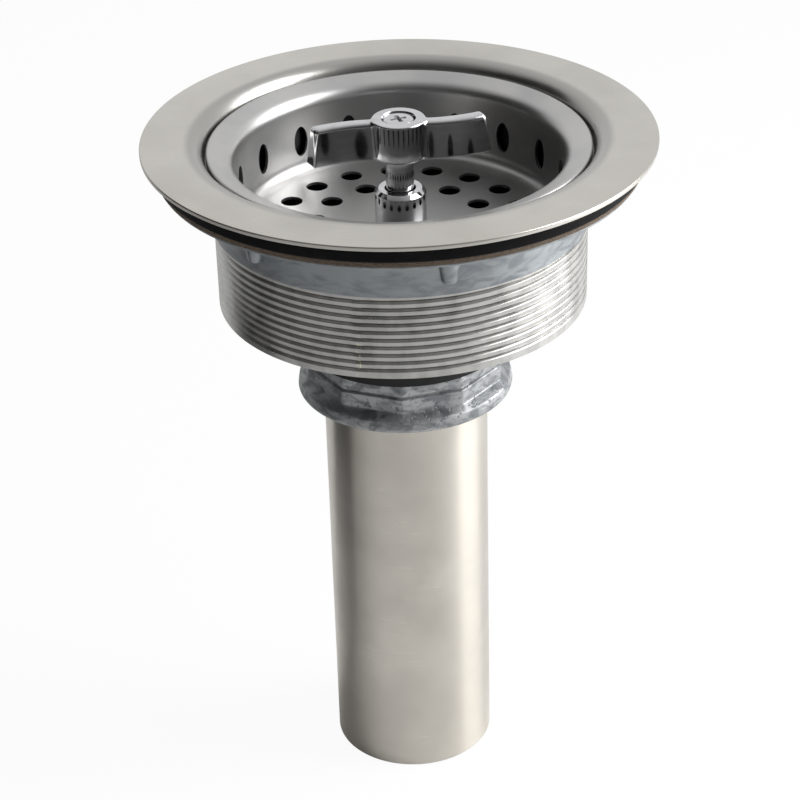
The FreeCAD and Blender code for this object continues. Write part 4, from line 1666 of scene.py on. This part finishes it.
@dataclass
class Studio:
    """White surroundings, a soft key light at the right and dark cards at the left."""

    elevation: float = 29.83296
    roll: float = -1.64112
    distance: float = 0.550620
    sideways: float = -0.00141532
    target_height: float = -0.06684295
    view_angle: float = 19.359
    floor_height: float = -0.1602
    floor_size: float = 6.0
    floor_show: float = 0.94
    white: float = 1.0
    dim: float = 0.08
    fill: float = 0.30
    sweep_way: Spot = (0.3, 0.85, 0.4)
    sweep_ends: Point = (-0.5, 0.9)
    aim: Spot = (0.0, 0.0, -0.05)
    key_power: float = 9.5
    key_spot: Spot = (0.62, 0.0, 0.28)
    key_size: Point = (0.5, 0.8)
    cards: tuple[tuple[str, Spot, Point, float], ...] = (
        ("dark_card", (-0.45, -0.02, 0.10), (0.6, 0.6), 0.02),
        # A dark card low at the left, seen only in reflections: painted shadow that stands for the
        # floor's shade beside the tube.
        ("floor_shadow_card", (-0.13, 0.016, -0.122), (0.09, 0.07), 0.05),
    )

    def camera(self) -> None:
        """Stand the camera where the photograph was taken."""
        tilt, roll = math.radians(self.elevation), math.radians(self.roll)
        level = Vector((1.0, 0.0, 0.0))
        rising = Vector((0.0, math.sin(tilt), math.cos(tilt)))
        back = Vector((0.0, -math.cos(tilt), math.sin(tilt)))
        right = level * math.cos(roll) + rising * math.sin(roll)
        up = rising * math.cos(roll) - level * math.sin(roll)
        spot = Vector((0.0, 0.0, self.target_height)) + right * self.sideways + back * self.distance
        data = bpy.data.cameras.new("photo_camera")
        data.angle = math.radians(self.view_angle)
        data.clip_start = 0.01
        camera = bpy.data.objects.new("photo_camera", data)
        camera.matrix_world = Matrix.Translation(spot) @ Matrix((right, up, back)).transposed().to_4x4()
        bpy.context.scene.collection.objects.link(camera)
        bpy.context.scene.camera = camera

    def world(self) -> None:
        """A white sweep behind the object, a dim room before it and an even fill."""
        world = bpy.data.worlds.new("studio")
        world.use_nodes = True
        world.cycles.sampling_method = "NONE"
        graph = Graph(world.node_tree)
        rays = graph.node("ShaderNodeLightPath", output="Is Camera Ray")
        seen = rays.math("MAXIMUM", rays, rays.other("Is Transmission Ray"))
        way = graph.node("ShaderNodeTexCoord", output="Generated")
        across = graph.node("ShaderNodeSeparateXYZ", sockets={0: way})
        x, y, z = self.sweep_way
        lean = across * x + across.other("Y") * y + across.other("Z") * z
        sweep = lean.rise(*self.sweep_ends)
        glint = self.dim - self.fill + sweep * (self.white - self.dim)
        mirrored = rays.other("Is Glossy Ray") * glint
        level = self.fill + seen * (self.white - self.fill) + mirrored
        sockets = {"Color": (1.0, 1.0, 1.0, 1.0), "Strength": level}
        graph.show(graph.node("ShaderNodeBackground", sockets=sockets), "ShaderNodeOutputWorld")
        bpy.context.scene.world = world

    @staticmethod
    def sheet(name: str, place: Matrix, size: Point) -> tuple[bpy.types.Object, bpy.types.Material]:
        """Lay a sheet of paper in the studio.

        Args:
            name: the sheet's name.
            place: where its middle lies, and how it is turned.
            size: its width and height.

        Returns:
            The sheet and its paper.
        """
        x, y = size[0] / 2.0, size[1] / 2.0
        mesh = bpy.data.meshes.new(name)
        corners = [(-x, -y, 0.0), (x, -y, 0.0), (x, y, 0.0), (-x, y, 0.0)]
        mesh.from_pydata(corners, [], [(0, 1, 2, 3)])
        made = bpy.data.objects.new(name, mesh)
        made.matrix_world = place
        bpy.context.scene.collection.objects.link(made)
        paper = bpy.data.materials.new(name)
        paper.use_nodes = True
        mesh.materials.append(paper)
        return made, paper

    def floor(self) -> None:
        """A pale floor that keeps the shadow and shows white to the camera."""
        place = Matrix.Translation((0.0, 0.0, self.floor_height))
        plane, paper = self.sheet("floor", place, (self.floor_size, self.floor_size))
        paper.cycles.emission_sampling = "NONE"
        graph = Graph(paper.node_tree)
        matte = graph.node("ShaderNodeBsdfDiffuse", sockets={"Color": (0.9, 0.9, 0.9, 1.0)})
        glow = graph.node("ShaderNodeEmission", sockets={"Strength": 1.0})
        share = graph.node("ShaderNodeLightPath", output="Is Camera Ray") * self.floor_show
        graph.show(graph.node("ShaderNodeMixShader", sockets={0: share, 1: matte, 2: glow}))

    def facing(self, spot: Spot, front: str) -> Matrix:
        """Where a thing hangs that looks at the object.

        Args:
            spot: its middle.
            front: the axis that it looks along.

        Returns:
            Its place.
        """
        turn = (Vector(self.aim) - Vector(spot)).to_track_quat(front, "Y")
        return Matrix.Translation(spot) @ turn.to_matrix().to_4x4()

    def card(self, name: str, spot: Spot, size: Point, tone: float) -> None:
        """Stand a matte card beside the object, out of the camera's sight.

        Args:
            name: the card's name.
            spot: its middle.
            size: its width and height.
            tone: how light its paper is.
        """
        card, paper = self.sheet(name, self.facing(spot, "Z"), size)
        graph = Graph(paper.node_tree)
        graph.show(graph.node("ShaderNodeBsdfDiffuse", sockets={"Color": (tone, tone, tone, 1.0)}))
        card.visible_camera = card.visible_diffuse = card.visible_shadow = False

    def key(self) -> None:
        """Hang the soft key lamp."""
        data = bpy.data.lights.new("key", "AREA")
        data.shape = "RECTANGLE"
        data.size, data.size_y = self.key_size
        data.energy = self.key_power
        lamp = bpy.data.objects.new("key", data)
        lamp.matrix_world = self.facing(self.key_spot, "-Z")
        bpy.context.scene.collection.objects.link(lamp)

    def build(self) -> None:
        """Set up the whole studio."""
        bpy.context.scene.view_settings.view_transform = "Standard"
        self.camera()
        self.world()
        self.floor()
        self.key()
        for card in self.cards:
            self.card(*card)


def main() -> None:
    """Build every sub-assembly in order and report each piece."""
    logging.basicConfig(level=logging.INFO, format="%(name)s %(message)s")
    parts = (
        DrawnBowl(), ClampRings(), ThreadedShell(), CouplingNut(), Tailpiece(),
        Basket(), WingHandle(), Stopper(), Studio(),
    )
    for part in parts:
        part.build()


if __name__ == "__main__":
    main()
